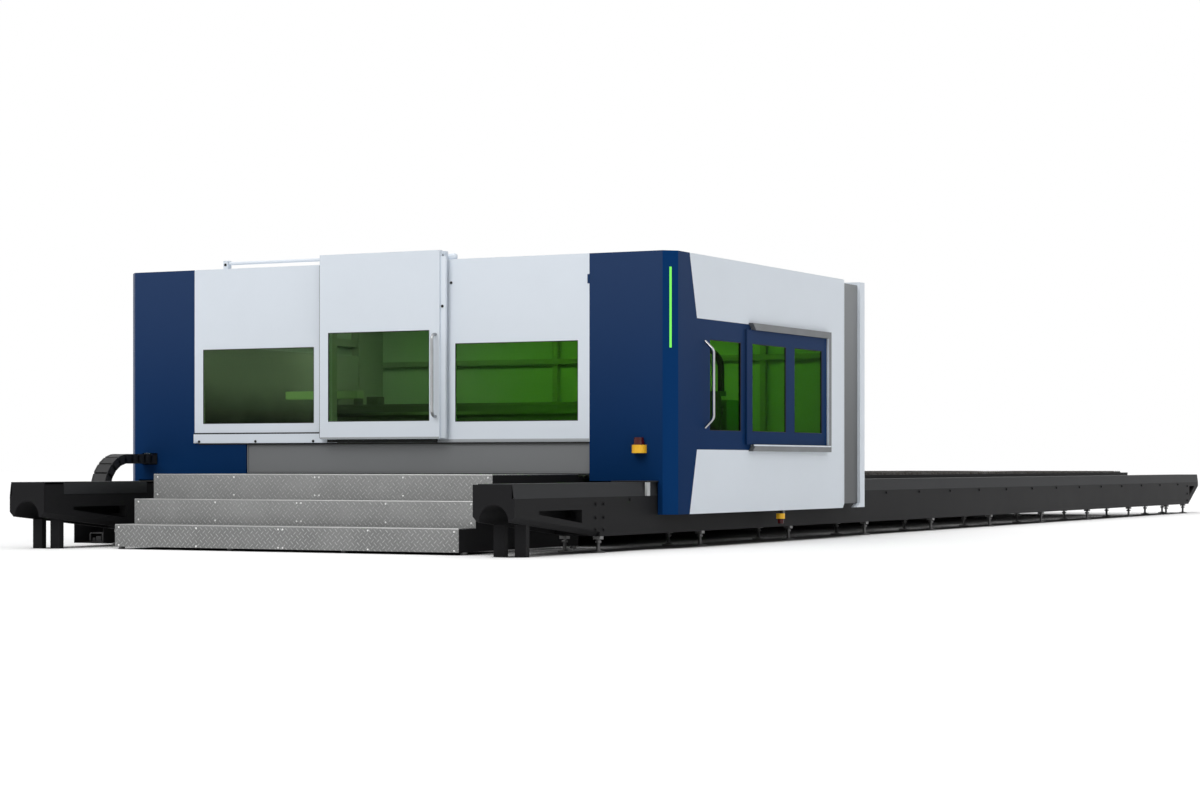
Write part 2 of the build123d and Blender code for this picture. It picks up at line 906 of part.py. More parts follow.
def chain_hole():
    slack = overrun / 2
    xs = (chain_xs[0] - slack, chain_xs[1] + slack)
    zs = (chain_top - chain_thickness - slack, chain_top + slack)
    return block(xs, (front - overrun, front + panel + overrun), zs)


foot_piece = block((white_left, blue_foot_right), (front, front + panel), (front_bottom, white_bottom - panel_gap))
save("front_left_corner_panel", corner_panel(-1, -white_left) + foot_piece - chain_hole())
save("front_right_corner_panel", corner_panel(1, white_right))


# White front panels with a window each, either side of the doorway, and the glass in them
def front_panel(x0, x1, window_x0, window_x1):
    sheet = block((x0, x1), (front, front + panel), (white_bottom, cabin_top))
    hole_ys = (front - overrun, front + panel + overrun)
    return sheet - block((window_x0, window_x1), hole_ys, (front_window_bottom, front_window_top))


def front_pane(x0, x1):
    y = front + (panel - glass) / 2
    return block((x0, x1), (y, y + glass), (front_window_bottom, front_window_top))


front_windows = ((left_window_left, left_window_right), (right_window_left, right_window_right))
save("front_left_panel", front_panel(white_left, doorway_left, *front_windows[0]))
save("front_right_panel", front_panel(doorway_right, white_right, *front_windows[1]))
save("front_windows", *[front_pane(x0, x1) for x0, x1 in front_windows])


# Grey apron over the table: a sheet with folded edges, fixed to the threshold tube
def front_apron():
    x0 = blue_foot_right + panel_gap
    x1 = white_right - panel_gap
    back = front + panel
    outline = (
        (x0, back),
        (x0, back - apron_sheet),
        (x0 + apron_lip, back - apron_sheet),
        (x0 + apron_lip, back - apron_lip),
        (x1 - apron_lip, back - apron_lip),
        (x1 - apron_lip, back - apron_sheet),
        (x1, back - apron_sheet),
        (x1, back),
    )
    return along_z(outline, apron_bottom, white_bottom - panel_gap)


# Door guide strip: a low rail along the foot of the left white panel, rounded at its free end
def door_guide_strip():
    strip = block(
        (guide_strip_left, guide_strip_right),
        (front - guide_strip_sheet, front),
        (guide_strip_bottom, guide_strip_top),
    )
    corner = strip.edges().filter_by(Axis.Y).sort_by(Axis.X)[:2].sort_by(Axis.Z)[0]
    return fillet(corner, guide_strip_corner)


save("front_apron", front_apron())
save("door_guide_strip", door_guide_strip())

# Roof sheet, cut back at the front chamfers
fold = panel * tan(radians(22.5))
roof_corner = (cabin_flat_half - fold, front + panel)
roof_shoulder = (cabin_flat_half - fold + corner_chamfer - panel, front + corner_chamfer)
roof_half = (roof_corner, roof_shoulder, (frame_half, front + corner_chamfer), (frame_half, side_rear))
roof_outline = list(roof_half) + [(-x, y) for x, y in reversed(roof_half)]
save("roof_panel", along_z(roof_outline, frame_top, cabin_top))


# Door rail: a round bar on two blocks at the front edge of the roof
def rail_block(x):
    half = rail_block_width / 2
    depth = rail_block_depth / 2
    y = front + door_rail_y
    body = block((x - half, x + half), (y - depth, y + depth), (cabin_top, door_rail_z + rail_block_rise))
    return body - rod_x(door_rail_radius, x - half - overrun, x + half + overrun, y, door_rail_z)


rail_end = rail_block_width / 2
door_rail = rod_x(
    door_rail_radius, door_rail_left - rail_end, door_rail_right + rail_end, front + door_rail_y, door_rail_z
)
save("door_rail", door_rail, rail_block(door_rail_left), rail_block(door_rail_right))

# Front door: a sheet tray with a window, proud of the front, hung from the roof rail by two sleeves
door_face = front - door_proud
door_back = door_face + door_depth
door_tray = block((door_left, door_right), (door_face, door_back), (door_bottom, door_top))
door_hollow = block(
    (door_left + door_return, door_right - door_return),
    (door_face + door_sheet, door_back + overrun),
    (door_bottom + door_return, door_top - door_return),
)
door_window_xs = (door_window_left, door_window_right)
door_window_zs = (door_window_bottom, door_window_top)
door_hole = block(door_window_xs, (door_face - overrun, door_back + overrun), door_window_zs)
save("front_door_panel", door_tray - door_hollow - door_hole)
pane_y = door_face + (door_sheet - glass) / 2
save("front_door_glass", block(door_window_xs, (pane_y, pane_y + glass), door_window_zs))


def hanger(x):
    half = hanger_length / 2
    y = front + door_rail_y
    bore = door_rail_radius + running_clearance
    sleeve = rod_x(bore + hanger_wall, x - half, x + half, y, door_rail_z)
    arm_z = door_top - door_return / 2
    arm = block((x - half, x + half), (door_back, y), (arm_z - hanger_arm / 2, arm_z + hanger_arm / 2))
    return sleeve + arm - rod_x(bore, x - half - overrun, x + half + overrun, y, door_rail_z)


save("front_door_hangers", hanger(hanger_left), hanger(hanger_right))


def tube_handle(points, radius, bend):
    """A tube bent through the points, with enough flat sides to feel round."""
    path = FilletPolyline(*points, radius=bend)
    start = Plane(origin=path @ 0, z_dir=path % 0)
    return sweep(start * RegularPolygon(radius, handle_sides), path=path)


grip_y = door_face - door_handle_standoff
front_handle_points = (
    (door_handle_x, door_face, door_handle_bottom),
    (door_handle_x, grip_y, door_handle_bottom),
    (door_handle_x, grip_y, door_handle_top),
    (door_handle_x, door_face, door_handle_top),
)
save("front_door_handle", tube_handle(front_handle_points, door_handle_radius, handle_bend))

# Blue side strips behind the chamfers, with edges that slant away above and below the door band
slant_low = front + blue_slant_top_y
slant_mid = front + blue_slant_y
strip_front = front + corner_chamfer
blue_strip = (
    (strip_front, skirt_bottom),
    (slant_low, skirt_bottom),
    (slant_mid, side_band_low),
    (slant_mid, side_band_high),
    (slant_low, cabin_top),
    (strip_front, cabin_top),
)
save("side_front_panels", *[along_x(blue_strip, side * frame_half, side * cabin_half) for side in sides])

# White side panels: an upper sheet that turns down behind the pocket, a lower skirt with its rear corner
# cut off, and the plain left side
upper_outline = (
    (slant_mid, side_band_high),
    (front + side_rear_band_y, side_band_high),
    (front + side_rear_band_y, side_band_low),
    (side_rear, side_band_low),
    (side_rear, cabin_top),
    (slant_low, cabin_top),
)
lower_outline = (
    (slant_low, skirt_bottom),
    (side_rear - hook_length, skirt_bottom),
    (side_rear, band_bottom),
    (side_rear, side_band_low),
    (slant_mid, side_band_low),
)
left_outline = (
    (slant_low, skirt_bottom),
    (side_rear - hook_length, skirt_bottom),
    (side_rear, band_bottom),
    (side_rear, cabin_top),
    (slant_low, cabin_top),
    (slant_mid, side_band_high),
    (slant_mid, side_band_low),
)


def rear_bevelled(outline, side):
    """A side panel with the shallow bevel along its rear edge."""
    start = side_rear - rear_bevel
    deep = cabin_half - rear_bevel_depth
    beyond = (cabin_half + overrun, side_rear + overrun)
    wedge = ((cabin_half, start), (deep, side_rear), (deep, beyond[1]), beyond, (beyond[0], start))
    cut = along_z([(side * x, y) for x, y in wedge], skirt_bottom - overrun, cabin_top + overrun)
    return along_x(outline, side * frame_half, side * cabin_half) - cut


save("right_upper_panel", rear_bevelled(upper_outline, 1))
save("right_lower_panel", rear_bevelled(lower_outline, 1))
save("left_side_panel", rear_bevelled(left_outline, -1))

# Side door: a flat sheet with a window, between the upper and lower panels, running back behind the pocket
side_face = cabin_half - side_door_inset
side_door_xs = (side_face - side_door_sheet, side_face)
side_door_zs = (side_band_low + running_clearance, side_band_high - running_clearance)
side_door_ys = (slant_mid + running_clearance, front + side_door_rear)
side_window_ys = (front + side_window_front, front + side_window_rear)
side_window_zs = (side_window_bottom, side_window_top)
side_hole = block((side_face - side_door_sheet - overrun, side_face + overrun), side_window_ys, side_window_zs)
save("side_door_panel", block(side_door_xs, side_door_ys, side_door_zs) - side_hole)
side_pane_x = side_face - (side_door_sheet + glass) / 2
save("side_door_glass", block((side_pane_x, side_pane_x + glass), side_window_ys, side_window_zs))
side_grip_x = side_face + side_handle_standoff
side_y = front + side_handle_y
root_share = side_door_sheet / side_handle_standoff
root_drop = side_handle_slope * root_share
side_handle_points = (
    (side_face - side_door_sheet, side_y, side_handle_bottom - root_drop),
    (side_grip_x, side_y, side_handle_bottom + side_handle_slope),
    (side_grip_x, side_y, side_handle_top - side_handle_slope),
    (side_face - side_door_sheet, side_y, side_handle_top + root_drop),
)
side_handle = tube_handle(side_handle_points, side_handle_radius, handle_bend)
behind_face = block((side_face - side_door_sheet * 2, side_face), side_door_ys, side_door_zs)
save("side_door_handle", side_handle - behind_face)


# Pocket: a proud blue panel with two windows in a silver frame that is open, with slanted ends, towards the door
def pocket_frame():
    open_y = front + pocket_frame_front
    rear_y = front + pocket_rear
    low = pocket_frame_low + pocket_bar
    high = pocket_frame_high - pocket_bar
    outline = (
        (open_y, pocket_frame_low),
        (rear_y, pocket_frame_low),
        (rear_y, pocket_frame_high),
        (open_y, pocket_frame_high),
        (open_y + pocket_slant, high),
        (rear_y - pocket_bar, high),
        (rear_y - pocket_bar, low),
        (open_y + pocket_slant, low),
    )
    return along_x(outline, cabin_half, cabin_half + pocket_bar_depth)


pocket_xs = (cabin_half + pocket_gap, cabin_half + pocket_gap + pocket_sheet)
pocket_ys = (front + pocket_front, front + pocket_rear - pocket_bar)
pocket_zs = (pocket_frame_low + pocket_bar, pocket_frame_high - pocket_bar)
pocket_sheet_solid = block(pocket_xs, pocket_ys, pocket_zs)
pocket_panes = []
for shares in pocket_window_shares:
    window_ys = [pocket_ys[0] + (pocket_ys[1] - pocket_ys[0]) * share for share in shares]
    hole_xs = (pocket_xs[0] - overrun, pocket_xs[1] + overrun)
    pocket_sheet_solid -= block(hole_xs, window_ys, side_window_zs)
    pane_x = pocket_xs[0] + (pocket_sheet - glass) / 2
    pocket_panes.append(block((pane_x, pane_x + glass), window_ys, side_window_zs))
save("pocket_frame", pocket_frame())
save("pocket_panel", pocket_sheet_solid)
save("pocket_windows", *pocket_panes)

# Rear section: a recessed grey band behind the side panels, a white portal with a foot that reaches under
# the band, and the rear wall
band_lid_low = frame_top - band_inset
band_ys = (side_rear, band_rear)
band_zs = (band_bottom, band_lid_low)
band_walls = [block((side * (frame_half - band_inset), side * frame_half), band_ys, band_zs) for side in sides]
band_lid = block((-frame_half, frame_half), band_ys, (band_lid_low, frame_top))
save("rear_band", *band_walls, band_lid)
portal_in = cabin_half - portal_sheet
portal_ys = (band_rear, portal_rear)
portal_outline = (
    (band_rear - hook_length, skirt_bottom),
    (portal_rear, skirt_bottom),
    (portal_rear, band_lid_low),
    (band_rear, band_lid_low),
    (band_rear, band_bottom),
)
portal_walls = [along_x(portal_outline, side * portal_in, side * cabin_half) for side in sides]
portal_lid = block((-cabin_half, cabin_half), portal_ys, (band_lid_low, cabin_top + portal_rise))
save("rear_portal", *portal_walls, portal_lid)
rear_ys = (portal_rear - rear_panel_inset - panel, portal_rear - rear_panel_inset)
save("rear_panel", block((-portal_in, portal_in), rear_ys, (apron_bottom, band_lid_low)))

# Status light on the right front chamfer
chamfer_mid = corner_chamfer / 2
led_out = led_sheet / 2 * cos(radians(45))
led_place = Pos(cabin_flat_half + chamfer_mid + led_out, front + chamfer_mid - led_out, (led_bottom + led_top) / 2)
save("led_strip", led_place * Rot(0, 0, 45) * Box(led_width, led_sheet, led_top - led_bottom))


# Safety scanners: a housing with a round nose and a tapered dome, one upright in front and one hung at the side
def nose_plan(width, depth):
    radius = width / 2
    square = Pos(0, -(depth - radius) / 2) * Rectangle(width, depth - radius)
    nose = Pos(0, -(depth - radius)) * Circle(radius)
    return (square + nose) & (Pos(0, -depth / 2) * Rectangle(width, depth))


def scanner_housing(share):
    return extrude(nose_plan(scanner_width * share, scanner_depth * share), amount=scanner_height * share)


def scanner_dome(share):
    depth = scanner_depth * share
    plan = nose_plan(scanner_width * share * scanner_dome_share, depth * scanner_dome_share)
    plan = Pos(0, -depth * (1 - scanner_dome_share) / 2) * plan
    return extrude(plan, amount=scanner_dome_height * share, taper=scanner_dome_taper)


front_scanner = Pos(front_scanner_x, front, front_scanner_z)
side_scanner = Pos(frame_half - panel, front + side_scanner_y, side_scanner_z) * Rot(0, 0, 90)
side_hanger = block(
    (frame_half, cabin_half),
    (front + side_scanner_y - scanner_hanger, front + side_scanner_y + scanner_hanger),
    (side_scanner_z + scanner_height * side_scanner_share, skirt_bottom),
)
side_housing = side_scanner * scanner_housing(side_scanner_share) + side_hanger
save("scanner_bodies", front_scanner * scanner_housing(1), side_housing)
front_dome = front_scanner * Pos(0, 0, scanner_height) * scanner_dome(1)
side_dome = side_scanner * Rot(0, 180, 0) * scanner_dome(side_scanner_share)
save("scanner_domes", front_dome, side_dome)

# Cross carriage: a plate with four shoes on the cross rails, a base on top with the motor and the cable arch
carriage_half = carriage_width / 2
carriage_xs = (carriage_x - carriage_half, carriage_x + carriage_half)
carriage_face = gantry_front - cross_rail_size - carriage_gap
carriage_back = carriage_face + carriage_sheet
carriage_zs = (sill_top + carriage_low, sill_top + gantry_height + carriage_rise)
carriage = block(carriage_xs, (carriage_face, carriage_back), carriage_zs)
for rail_z in cross_rail_zs:
    shoe_zs = (
        rail_z + cross_rail_size / 2 - carriage_shoe_height / 2,
        rail_z + cross_rail_size / 2 + carriage_shoe_height / 2,
    )
    for shoe_x in (carriage_xs[0], carriage_xs[1] - carriage_shoe):
        shoe_xs = (shoe_x, shoe_x + carriage_shoe)
        carriage += block(shoe_xs, (carriage_back, gantry_front - panel_gap), shoe_zs)
    groove_xs = (carriage_xs[0] - overrun, carriage_xs[1] + overrun)
    groove_ys = (gantry_front - cross_rail_size - running_clearance, gantry_front)
    groove_zs = (rail_z - running_clearance, rail_z + cross_rail_size + running_clearance)
    carriage -= block(groove_xs, groove_ys, groove_zs)
base_low = carriage_zs[1]
base_top = base_low + base_height
carriage += block(carriage_xs, (carriage_face, carriage_face + base_depth), (base_low, base_top))
save("carriage_plate", carriage)
base_mid_y = carriage_face + base_depth / 2
save(
    "carriage_motor",
    Pos(carriage_x, base_mid_y, base_top + carriage_motor_height / 2)
    * Cylinder(carriage_motor_radius, carriage_motor_height),
)


def carriage_chain():
    """A flat arch of cable carrier that stands on the base and comes down on it again."""
    plane = Plane(origin=(0, base_mid_y + carriage_chain_depth / 2, 0), x_dir=(1, 0, 0), z_dir=(0, -1, 0))
    half = carriage_chain_span / 2
    thick = carriage_chain_thickness
    bend_z = base_top + carriage_chain_rise
    ring = Circle(half + thick / 2) - Circle(half - thick / 2)
    upper = Pos(0, half) * Rectangle(4 * half, 2 * half)
    arch = Pos(carriage_x, bend_z) * (ring & upper)
    for side in sides:
        leg_z = (base_top + bend_z) / 2
        arch += Pos(carriage_x + side * half, leg_z) * Rectangle(thick, carriage_chain_rise)
    return extrude(plane * arch, amount=carriage_chain_depth)


save("carriage_chain", carriage_chain())

# Cutting head: a slide on the carriage, the head body with its barrel, and the nozzle
slide_xs = (carriage_x - slide_width / 2, carriage_x + slide_width / 2)
slide_back = carriage_face - running_clearance
slide_face = slide_back - slide_sheet
save("head_slide", block(slide_xs, (slide_face, slide_back), (slide_low, slide_high)))
head_xs = (carriage_x - head_width / 2, carriage_x + head_width / 2)
head = block(head_xs, (slide_face - head_depth, slide_face), (head_low, head_high))
head = fillet(head.edges().filter_by(Axis.Z).sort_by(Axis.Y)[:2], head_round)
head_y = slide_face - head_depth / 2
barrel = Pos(carriage_x, head_y, (barrel_low + head_low) / 2) * Cylinder(barrel_radius, head_low - barrel_low)
save("cutting_head", head + barrel)
nozzle = prism(barrel_radius, nozzle_sides, carriage_x, head_y, nozzle_low, barrel_low)
nozzle_rim = nozzle.faces().sort_by(Axis.Z)[0].edges()
save("cutting_nozzle", chamfer(nozzle_rim, barrel_radius - nozzle_radius))
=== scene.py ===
from math import cos, pi, radians, sin, tan

import bmesh
import bpy
from mathutils import Matrix, Vector


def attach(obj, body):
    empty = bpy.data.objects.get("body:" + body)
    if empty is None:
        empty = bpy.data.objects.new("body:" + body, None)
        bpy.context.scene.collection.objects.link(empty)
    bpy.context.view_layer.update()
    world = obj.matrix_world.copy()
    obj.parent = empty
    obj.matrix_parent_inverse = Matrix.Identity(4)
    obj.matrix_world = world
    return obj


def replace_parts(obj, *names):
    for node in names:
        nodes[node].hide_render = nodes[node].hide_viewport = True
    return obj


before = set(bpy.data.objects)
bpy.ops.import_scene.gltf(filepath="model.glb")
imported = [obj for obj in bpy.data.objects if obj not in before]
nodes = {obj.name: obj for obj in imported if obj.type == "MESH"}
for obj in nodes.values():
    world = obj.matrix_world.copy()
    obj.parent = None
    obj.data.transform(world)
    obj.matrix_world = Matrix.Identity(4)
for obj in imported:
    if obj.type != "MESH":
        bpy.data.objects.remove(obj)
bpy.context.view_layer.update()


# Bed beams, end brackets and legs: long steel boxes welded from plate, sprayed satin black in the shop.
# The paint has a fine orange-peel skin, varies a little in gloss and holds a film of dust on flat tops.
class Shade:
    """An output of a material's nodes. Sums, products and comparisons of outputs add Math nodes."""

    def __init__(self, tree, socket=None):
        self.tree = tree
        self.socket = socket

    def node(self, kind, values=(), output=0, **settings):
        """Adds a node, sets it, fills its inputs by name or number, and returns one output."""
        made = self.tree.nodes.new("ShaderNode" + kind)
        for name, setting in settings.items():
            setattr(made, name, setting)
        for name, value in dict(values).items():
            if isinstance(value, Shade):
                self.tree.links.new(value.socket, made.inputs[name])
            else:
                made.inputs[name].default_value = value
        return Shade(self.tree, made.outputs[output])

    def feed(self, shader, name):
        self.tree.links.new(self.socket, shader.inputs[name])

    def math(self, operation, *values):
        return self.node("Math", enumerate(values), operation=operation)

    def __add__(self, other):
        return self.math("ADD", self, other)

    def __sub__(self, other):
        return self.math("SUBTRACT", self, other)

    def __rsub__(self, other):
        return self.math("SUBTRACT", other, self)

    def __mul__(self, other):
        return self.math("MULTIPLY", self, other)

    def __gt__(self, other):
        return self.math("GREATER_THAN", self, other)

    def __mod__(self, other):
        return self.math("FLOORED_MODULO", self, other)

    def __pow__(self, other):
        return self.math("POWER", self, other)

    __radd__ = __add__

    def ramp(self, low, high):
        """Rises smoothly from 0 at low to 1 at high."""
        values = {"Value": self, "From Min": low, "From Max": high}
        return self.node("MapRange", values, interpolation_type="SMOOTHSTEP")

    def colour(self, first, second):
        """Goes from the first colour to the second as this value goes from 0 to 1."""
        return self.node("Mix", {0: self, 6: first, 7: second}, 2, data_type="RGBA")

    def axis(self, name):
        """One coordinate of this place or direction."""
        return self.node("SeparateXYZ", {"Vector": self}, name)

    def noise(self, scale, detail=2.0, roughness=0.5):
        """Cloudy noise at this place."""
        values = {"Vector": self, "Scale": scale, "Detail": detail, "Roughness": roughness}
        return self.node("TexNoise", values)

    def bump(self, shader, strength, distance):
        """Tilts the shader's normal as if this value were a height."""
        values = {"Height": self, "Strength": strength, "Distance": distance}
        self.node("Bump", values).feed(shader, "Normal")


def new_material(name, **sockets):
    """A material with its shader's fixed sockets set, the shader, and a start for its nodes."""
    material = bpy.data.materials.new(name)
    material.use_nodes = True
    shader = material.node_tree.nodes["Principled BSDF"]
    for socket, value in sockets.items():
        shader.inputs[socket.replace("_", " ")].default_value = value
    return material, shader, Shade(material.node_tree)


def paint(name, colour, roughness, peel=0.01, dust=0.0, specular=0.5, drifts=0.05, top=None):
    """Sprayed paint whose colour drifts slightly and whose tops hold dust.

    It may fade to a painted reflection towards the top, and then front corner folds get painted light.
    """
    material, shader, shade = new_material(name, Specular_IOR_Level=specular)
    place = shade.node("TexCoord", output="Object")
    drift = place.noise(0.9, 4.0, 0.6)
    speck = place.noise(60.0, 3.0)
    skin = place.noise(320.0, 1.0)
    normal = shade.node("NewGeometry", output="Normal")
    upward = normal.axis("Z").ramp(0.5, 0.95)
    deep = [channel * (1 - drifts) for channel in colour] + [1.0]
    fresh = [channel * (1 + drifts) for channel in colour] + [1.0]
    tone = drift.ramp(0.3, 0.7).colour(deep, fresh)
    # Painted reflection and light: the colour pales towards the roof, and chamfered folds get a lighter
    # colour.
    if top:
        painted_fold_light = (normal.axis("X") * normal.axis("Y") * -1.0).ramp(0.15, 0.35)
        fade = place.axis("Z").ramp(0.4, 2.9) * (1.0 - painted_fold_light)
        tone = fade.colour(tone, (*top, 1.0))
        tone = painted_fold_light.colour(tone, [channel * 1.3 for channel in colour] + [1.0])
    settled = upward * speck.ramp(0.35, 0.75) * dust
    settled.colour(tone, (0.33, 0.32, 0.30, 1.0)).feed(shader, "Base Color")
    (roughness + (drift - 0.5) * 0.14 + settled * 0.4).feed(shader, "Roughness")
    skin.bump(shader, peel, 0.001)
    return material


def dress(material, *names):
    """Gives CAD nodes their finish."""
    for name in names:
        slots = nodes[name].data.materials
        slots.clear()
        slots.append(material)


black_paint = paint("black_paint", (0.016, 0.016, 0.017), 0.46, dust=0.1, specular=0.03)
dress(black_paint, "bed_beams", "front_brackets", "rear_brackets", "front_legs", "cross_members")
dress(black_paint, "table_side_frames", "stair_stringers", "chain_trough", "end_trucks")


# Joint bolts: hex bolts that hold the brackets to the beams, and a row along the cover's lower edge.
# Each has a chamfered head on a washer, and they were sprayed black together with the beam.
bed_x = 0.265
beam_out = 2.4725
beam_front, beam_rear = -9.1675, 10.0025


def steel(name, colour, roughness, grain, metallic=1.0, stretch=(1.0, 1.0, 1.0)):
    """Bare or plated metal with fine working lines along one direction and faint blotches."""
    material, shader, shade = new_material(name, Metallic=metallic)
    place = shade.node("TexCoord", output="Object")
    along = shade.node("Mapping", {"Vector": place, "Scale": stretch})
    lines = along.noise(grain, 4.0, 0.65)
    blotch = place.noise(3.0, 5.0)
    dull = [channel * 0.82 for channel in colour] + [1.0]
    tone = blotch.ramp(0.35, 0.7).colour(dull, (*colour, 1.0))
    tone.feed(shader, "Base Color")
    (roughness + (lines - 0.5) * 0.22 + (blotch - 0.5) * 0.1).feed(shader, "Roughness")
    lines.bump(shader, 0.05, 0.001)
    return material


def turned(profile, steps):
    """A round piece spun from half its outline, kept as a mesh to be repeated."""
    shape = bmesh.new()
    line = [shape.verts.new((radius, 0.0, z)) for radius, z in profile]
    edges = [shape.edges.new(pair) for pair in zip(line, line[1:])]
    turn = {"cent": (0, 0, 0), "axis": (0, 0, 1), "angle": 2 * pi, "steps": steps, "use_merge": True}
    bmesh.ops.spin(shape, geom=line + edges, **turn)
    bmesh.ops.remove_doubles(shape, verts=shape.verts, dist=1e-5)
    bmesh.ops.recalc_face_normals(shape, faces=shape.faces)
    mesh = bpy.data.meshes.new("turned")
    shape.to_mesh(mesh)
    shape.free()
    return mesh


def facing(point, direction):
    """A place whose own Z axis points in the direction."""
    turn = Vector((0, 0, 1)).rotation_difference(Vector(direction))
    return Matrix.Translation(point) @ turn.to_matrix().to_4x4()


def repeat(shape, template, places):
    """Adds a copy of the template at each place."""
    for place in places:
        copy = template.copy()
        copy.transform(place)
        shape.from_mesh(copy)
        bpy.data.meshes.remove(copy)


def piece(name, shape, material, body, crease=40):
    """Makes the shape a piece that rides on a body, smooth but for edges sharper than the crease."""
    mesh = bpy.data.meshes.new(name)
    shape.to_mesh(mesh)
    shape.free()
    mesh.materials.append(material)
    mesh.polygons.foreach_set("use_smooth", [True] * len(mesh.polygons))
    mesh.set_sharp_from_angle(angle=radians(crease))
    made = bpy.data.objects.new(name, mesh)
    bpy.context.scene.collection.objects.link(made)
    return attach(made, body)


hexagon = [(0.0, 0.0), (0.017, 0.0), (0.017, 0.003), (0.0125, 0.003)]
hexagon += [(0.0125, 0.010), (0.0105, 0.012), (0.0, 0.012)]
bolt = turned(hexagon, 6)
joint_ys = (beam_front - 0.07, beam_front + 0.07, beam_rear - 0.07)
joint_zs = (0.19, 0.29, 0.40)
cover_bolts, cover_bolt_y, cover_bolt_z = 19, beam_front + 0.55, 0.43
bolts = bmesh.new()
for side in (-1, 1):
    face = bed_x + side * beam_out
    spots = [(y, z) for y in joint_ys for z in joint_zs]
    spots += [(cover_bolt_y + n, cover_bolt_z) for n in range(cover_bolts)]
    repeat(bolts, bolt, [facing((face, y, z), (side, 0, 0)) for y, z in spots])
piece("bed_bolts", bolts, black_paint, "bed", 25)


# Bracket webs: a steel plate welded inside each front bracket, which stiffens its two sides
# and closes the view through their windows. It is sprayed black with the bracket.
def bar(shape, low, high, edge=0.0, segments=2):
    """A bar between two corners, its edges rounded."""
    low, high = Vector(low), Vector(high)
    verts = bmesh.ops.create_cube(shape, size=1.0)["verts"]
    bmesh.ops.scale(shape, vec=high - low, verts=verts)
    bmesh.ops.translate(shape, vec=(low + high) / 2, verts=verts)
    if edge:
        edges = list(dict.fromkeys(line for vert in verts for line in vert.link_edges))
        rounding = {"segments": segments, "profile": 0.5, "affect": "EDGES", "material": -1}
        bmesh.ops.bevel(shape, geom=edges, offset=edge, **rounding)


web_out, web_half = 2.2875, 0.004
web_front, web_rear = -10.05, -9.19
web_low, web_high = 0.285, 0.44
webs = bmesh.new()
for side in (-1, 1):
    middle = bed_x + side * web_out
    bar(webs, (middle - web_half, web_front, web_low), (middle + web_half, web_rear, web_high))
piece("bracket_webs", webs, black_paint, "bed")


# Rail covers: folded steel sheet over each guide rail, in a slightly lighter grey than the beams.
# The sheet shields the rail from sparks, so its top is scuffed and dusty. A flap hangs from its inner
# edge along each front bracket.
cover_paint = paint("cover_paint", (0.034, 0.035, 0.037), 0.5, dust=0.16, specular=0.05)
dress(cover_paint, "rail_covers")
flap_xs, flap_thick = (-1.8385, 2.3635), 0.005
flap_front, flap_rear = -10.33, -9.18
flap_low, flap_high = 0.468, 0.566
flaps = bmesh.new()
for x in flap_xs:
    bar(flaps, (x, flap_front, flap_low), (x + flap_thick, flap_rear, flap_high), 0.001)
piece("cover_flaps", flaps, cover_paint, "bed")


# Guide rails and racks: hardened steel, ground bright along their length.
# They are bolted along the beams under the covers, and the cabin's bearing blocks run on them.
ground_steel = steel("ground_steel", (0.46, 0.46, 0.47), 0.3, 70.0, stretch=(6.0, 0.3, 6.0))
dress(ground_steel, "guide_rails", "racks")


# Bearing blocks and rail wipers: zinc plated steel blocks on the rails, and ahead of the cabin
# a wiper over each cover, with a plated cheek below and a black rubber blade on top.
blade_low = 0.571
wiper, shader, shade = new_material("wiper_zinc", Metallic=0.5)
place = shade.node("TexCoord", output="Object")
height = place.axis("Z")
blotch = place.noise(25.0, 4.0)
plated = blotch.colour((0.42, 0.43, 0.43, 1.0), (0.52, 0.53, 0.53, 1.0))
(height > blade_low).colour(plated, (0.010, 0.010, 0.010, 1.0)).feed(shader, "Base Color")
(0.45 + blotch * 0.2).feed(shader, "Roughness")
dress(wiper, "bearing_blocks")


# Levelling feet: a turned pad with a ball neck, a threaded spindle and a lock nut, all zinc plated and
# painted shade in a darker copy of the zinc. They stand under both edges of each beam at every station,
# and small plain pads stand under the stairs.
pad_outline = [(0.0, 0.0), (0.057, 0.0), (0.060, 0.003), (0.060, 0.009)]
pad_outline += [(0.054, 0.013), (0.030, 0.016), (0.024, 0.022)]
thread = [(0.0135 + 0.0015 * (n % 2), 0.022 + 0.0045 * n) for n in range(13)]
nut_outline = [(0.014, 0.080), (0.027, 0.080), (0.029, 0.083)]
nut_outline += [(0.029, 0.097), (0.027, 0.100), (0.014, 0.100)]
spindle = turned(pad_outline + thread + [(0.0135, 0.080)], 16)
lock_nut = turned(nut_outline, 6)
neck = turned([(0.014, 0.100), (0.014, 0.110), (0.0, 0.110)], 10)
station_pitch = 2.0
stations = [-9.1355] + [beam_front + station_pitch * n for n in range(1, 10)] + [9.7925]
reaches = (-2.4425, -2.1325, 2.1325, 2.4425)
feet = bmesh.new()
spots = [Matrix.Translation((bed_x + reach, y, 0)) for reach in reaches for y in stations]
for part in (spindle, lock_nut, neck):
    repeat(feet, part, spots)
stair_left, stair_right = -1.385, 2.015
small_pad = [(0.0, 0.0), (0.026, 0.0), (0.028, 0.002), (0.028, 0.018), (0.024, 0.022), (0.0, 0.022)]
stair_pad = turned(small_pad, 14)
stringer_xs = [stair_left + 0.004 + 3.392 / 3 * n for n in range(4)]
stair_pad_ys = (-10.1175, -9.1875, -8.2575)
repeat(feet, stair_pad, [Matrix.Translation((x, y, 0)) for x in stringer_xs for y in stair_pad_ys])
# Painted shade: the feet's zinc is a darker copy of the zinc plating.
shaded_foot_zinc = steel("shaded_foot_zinc", (0.13, 0.13, 0.13), 0.42, 90.0, metallic=0.8)
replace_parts(piece("round_feet", feet, shaded_foot_zinc, "bed", 30), "levelling_feet")
pale_block = steel("pale_block", (0.20, 0.20, 0.20), 0.5, 40.0, metallic=0.6)
dress(pale_block, "foot_blocks")


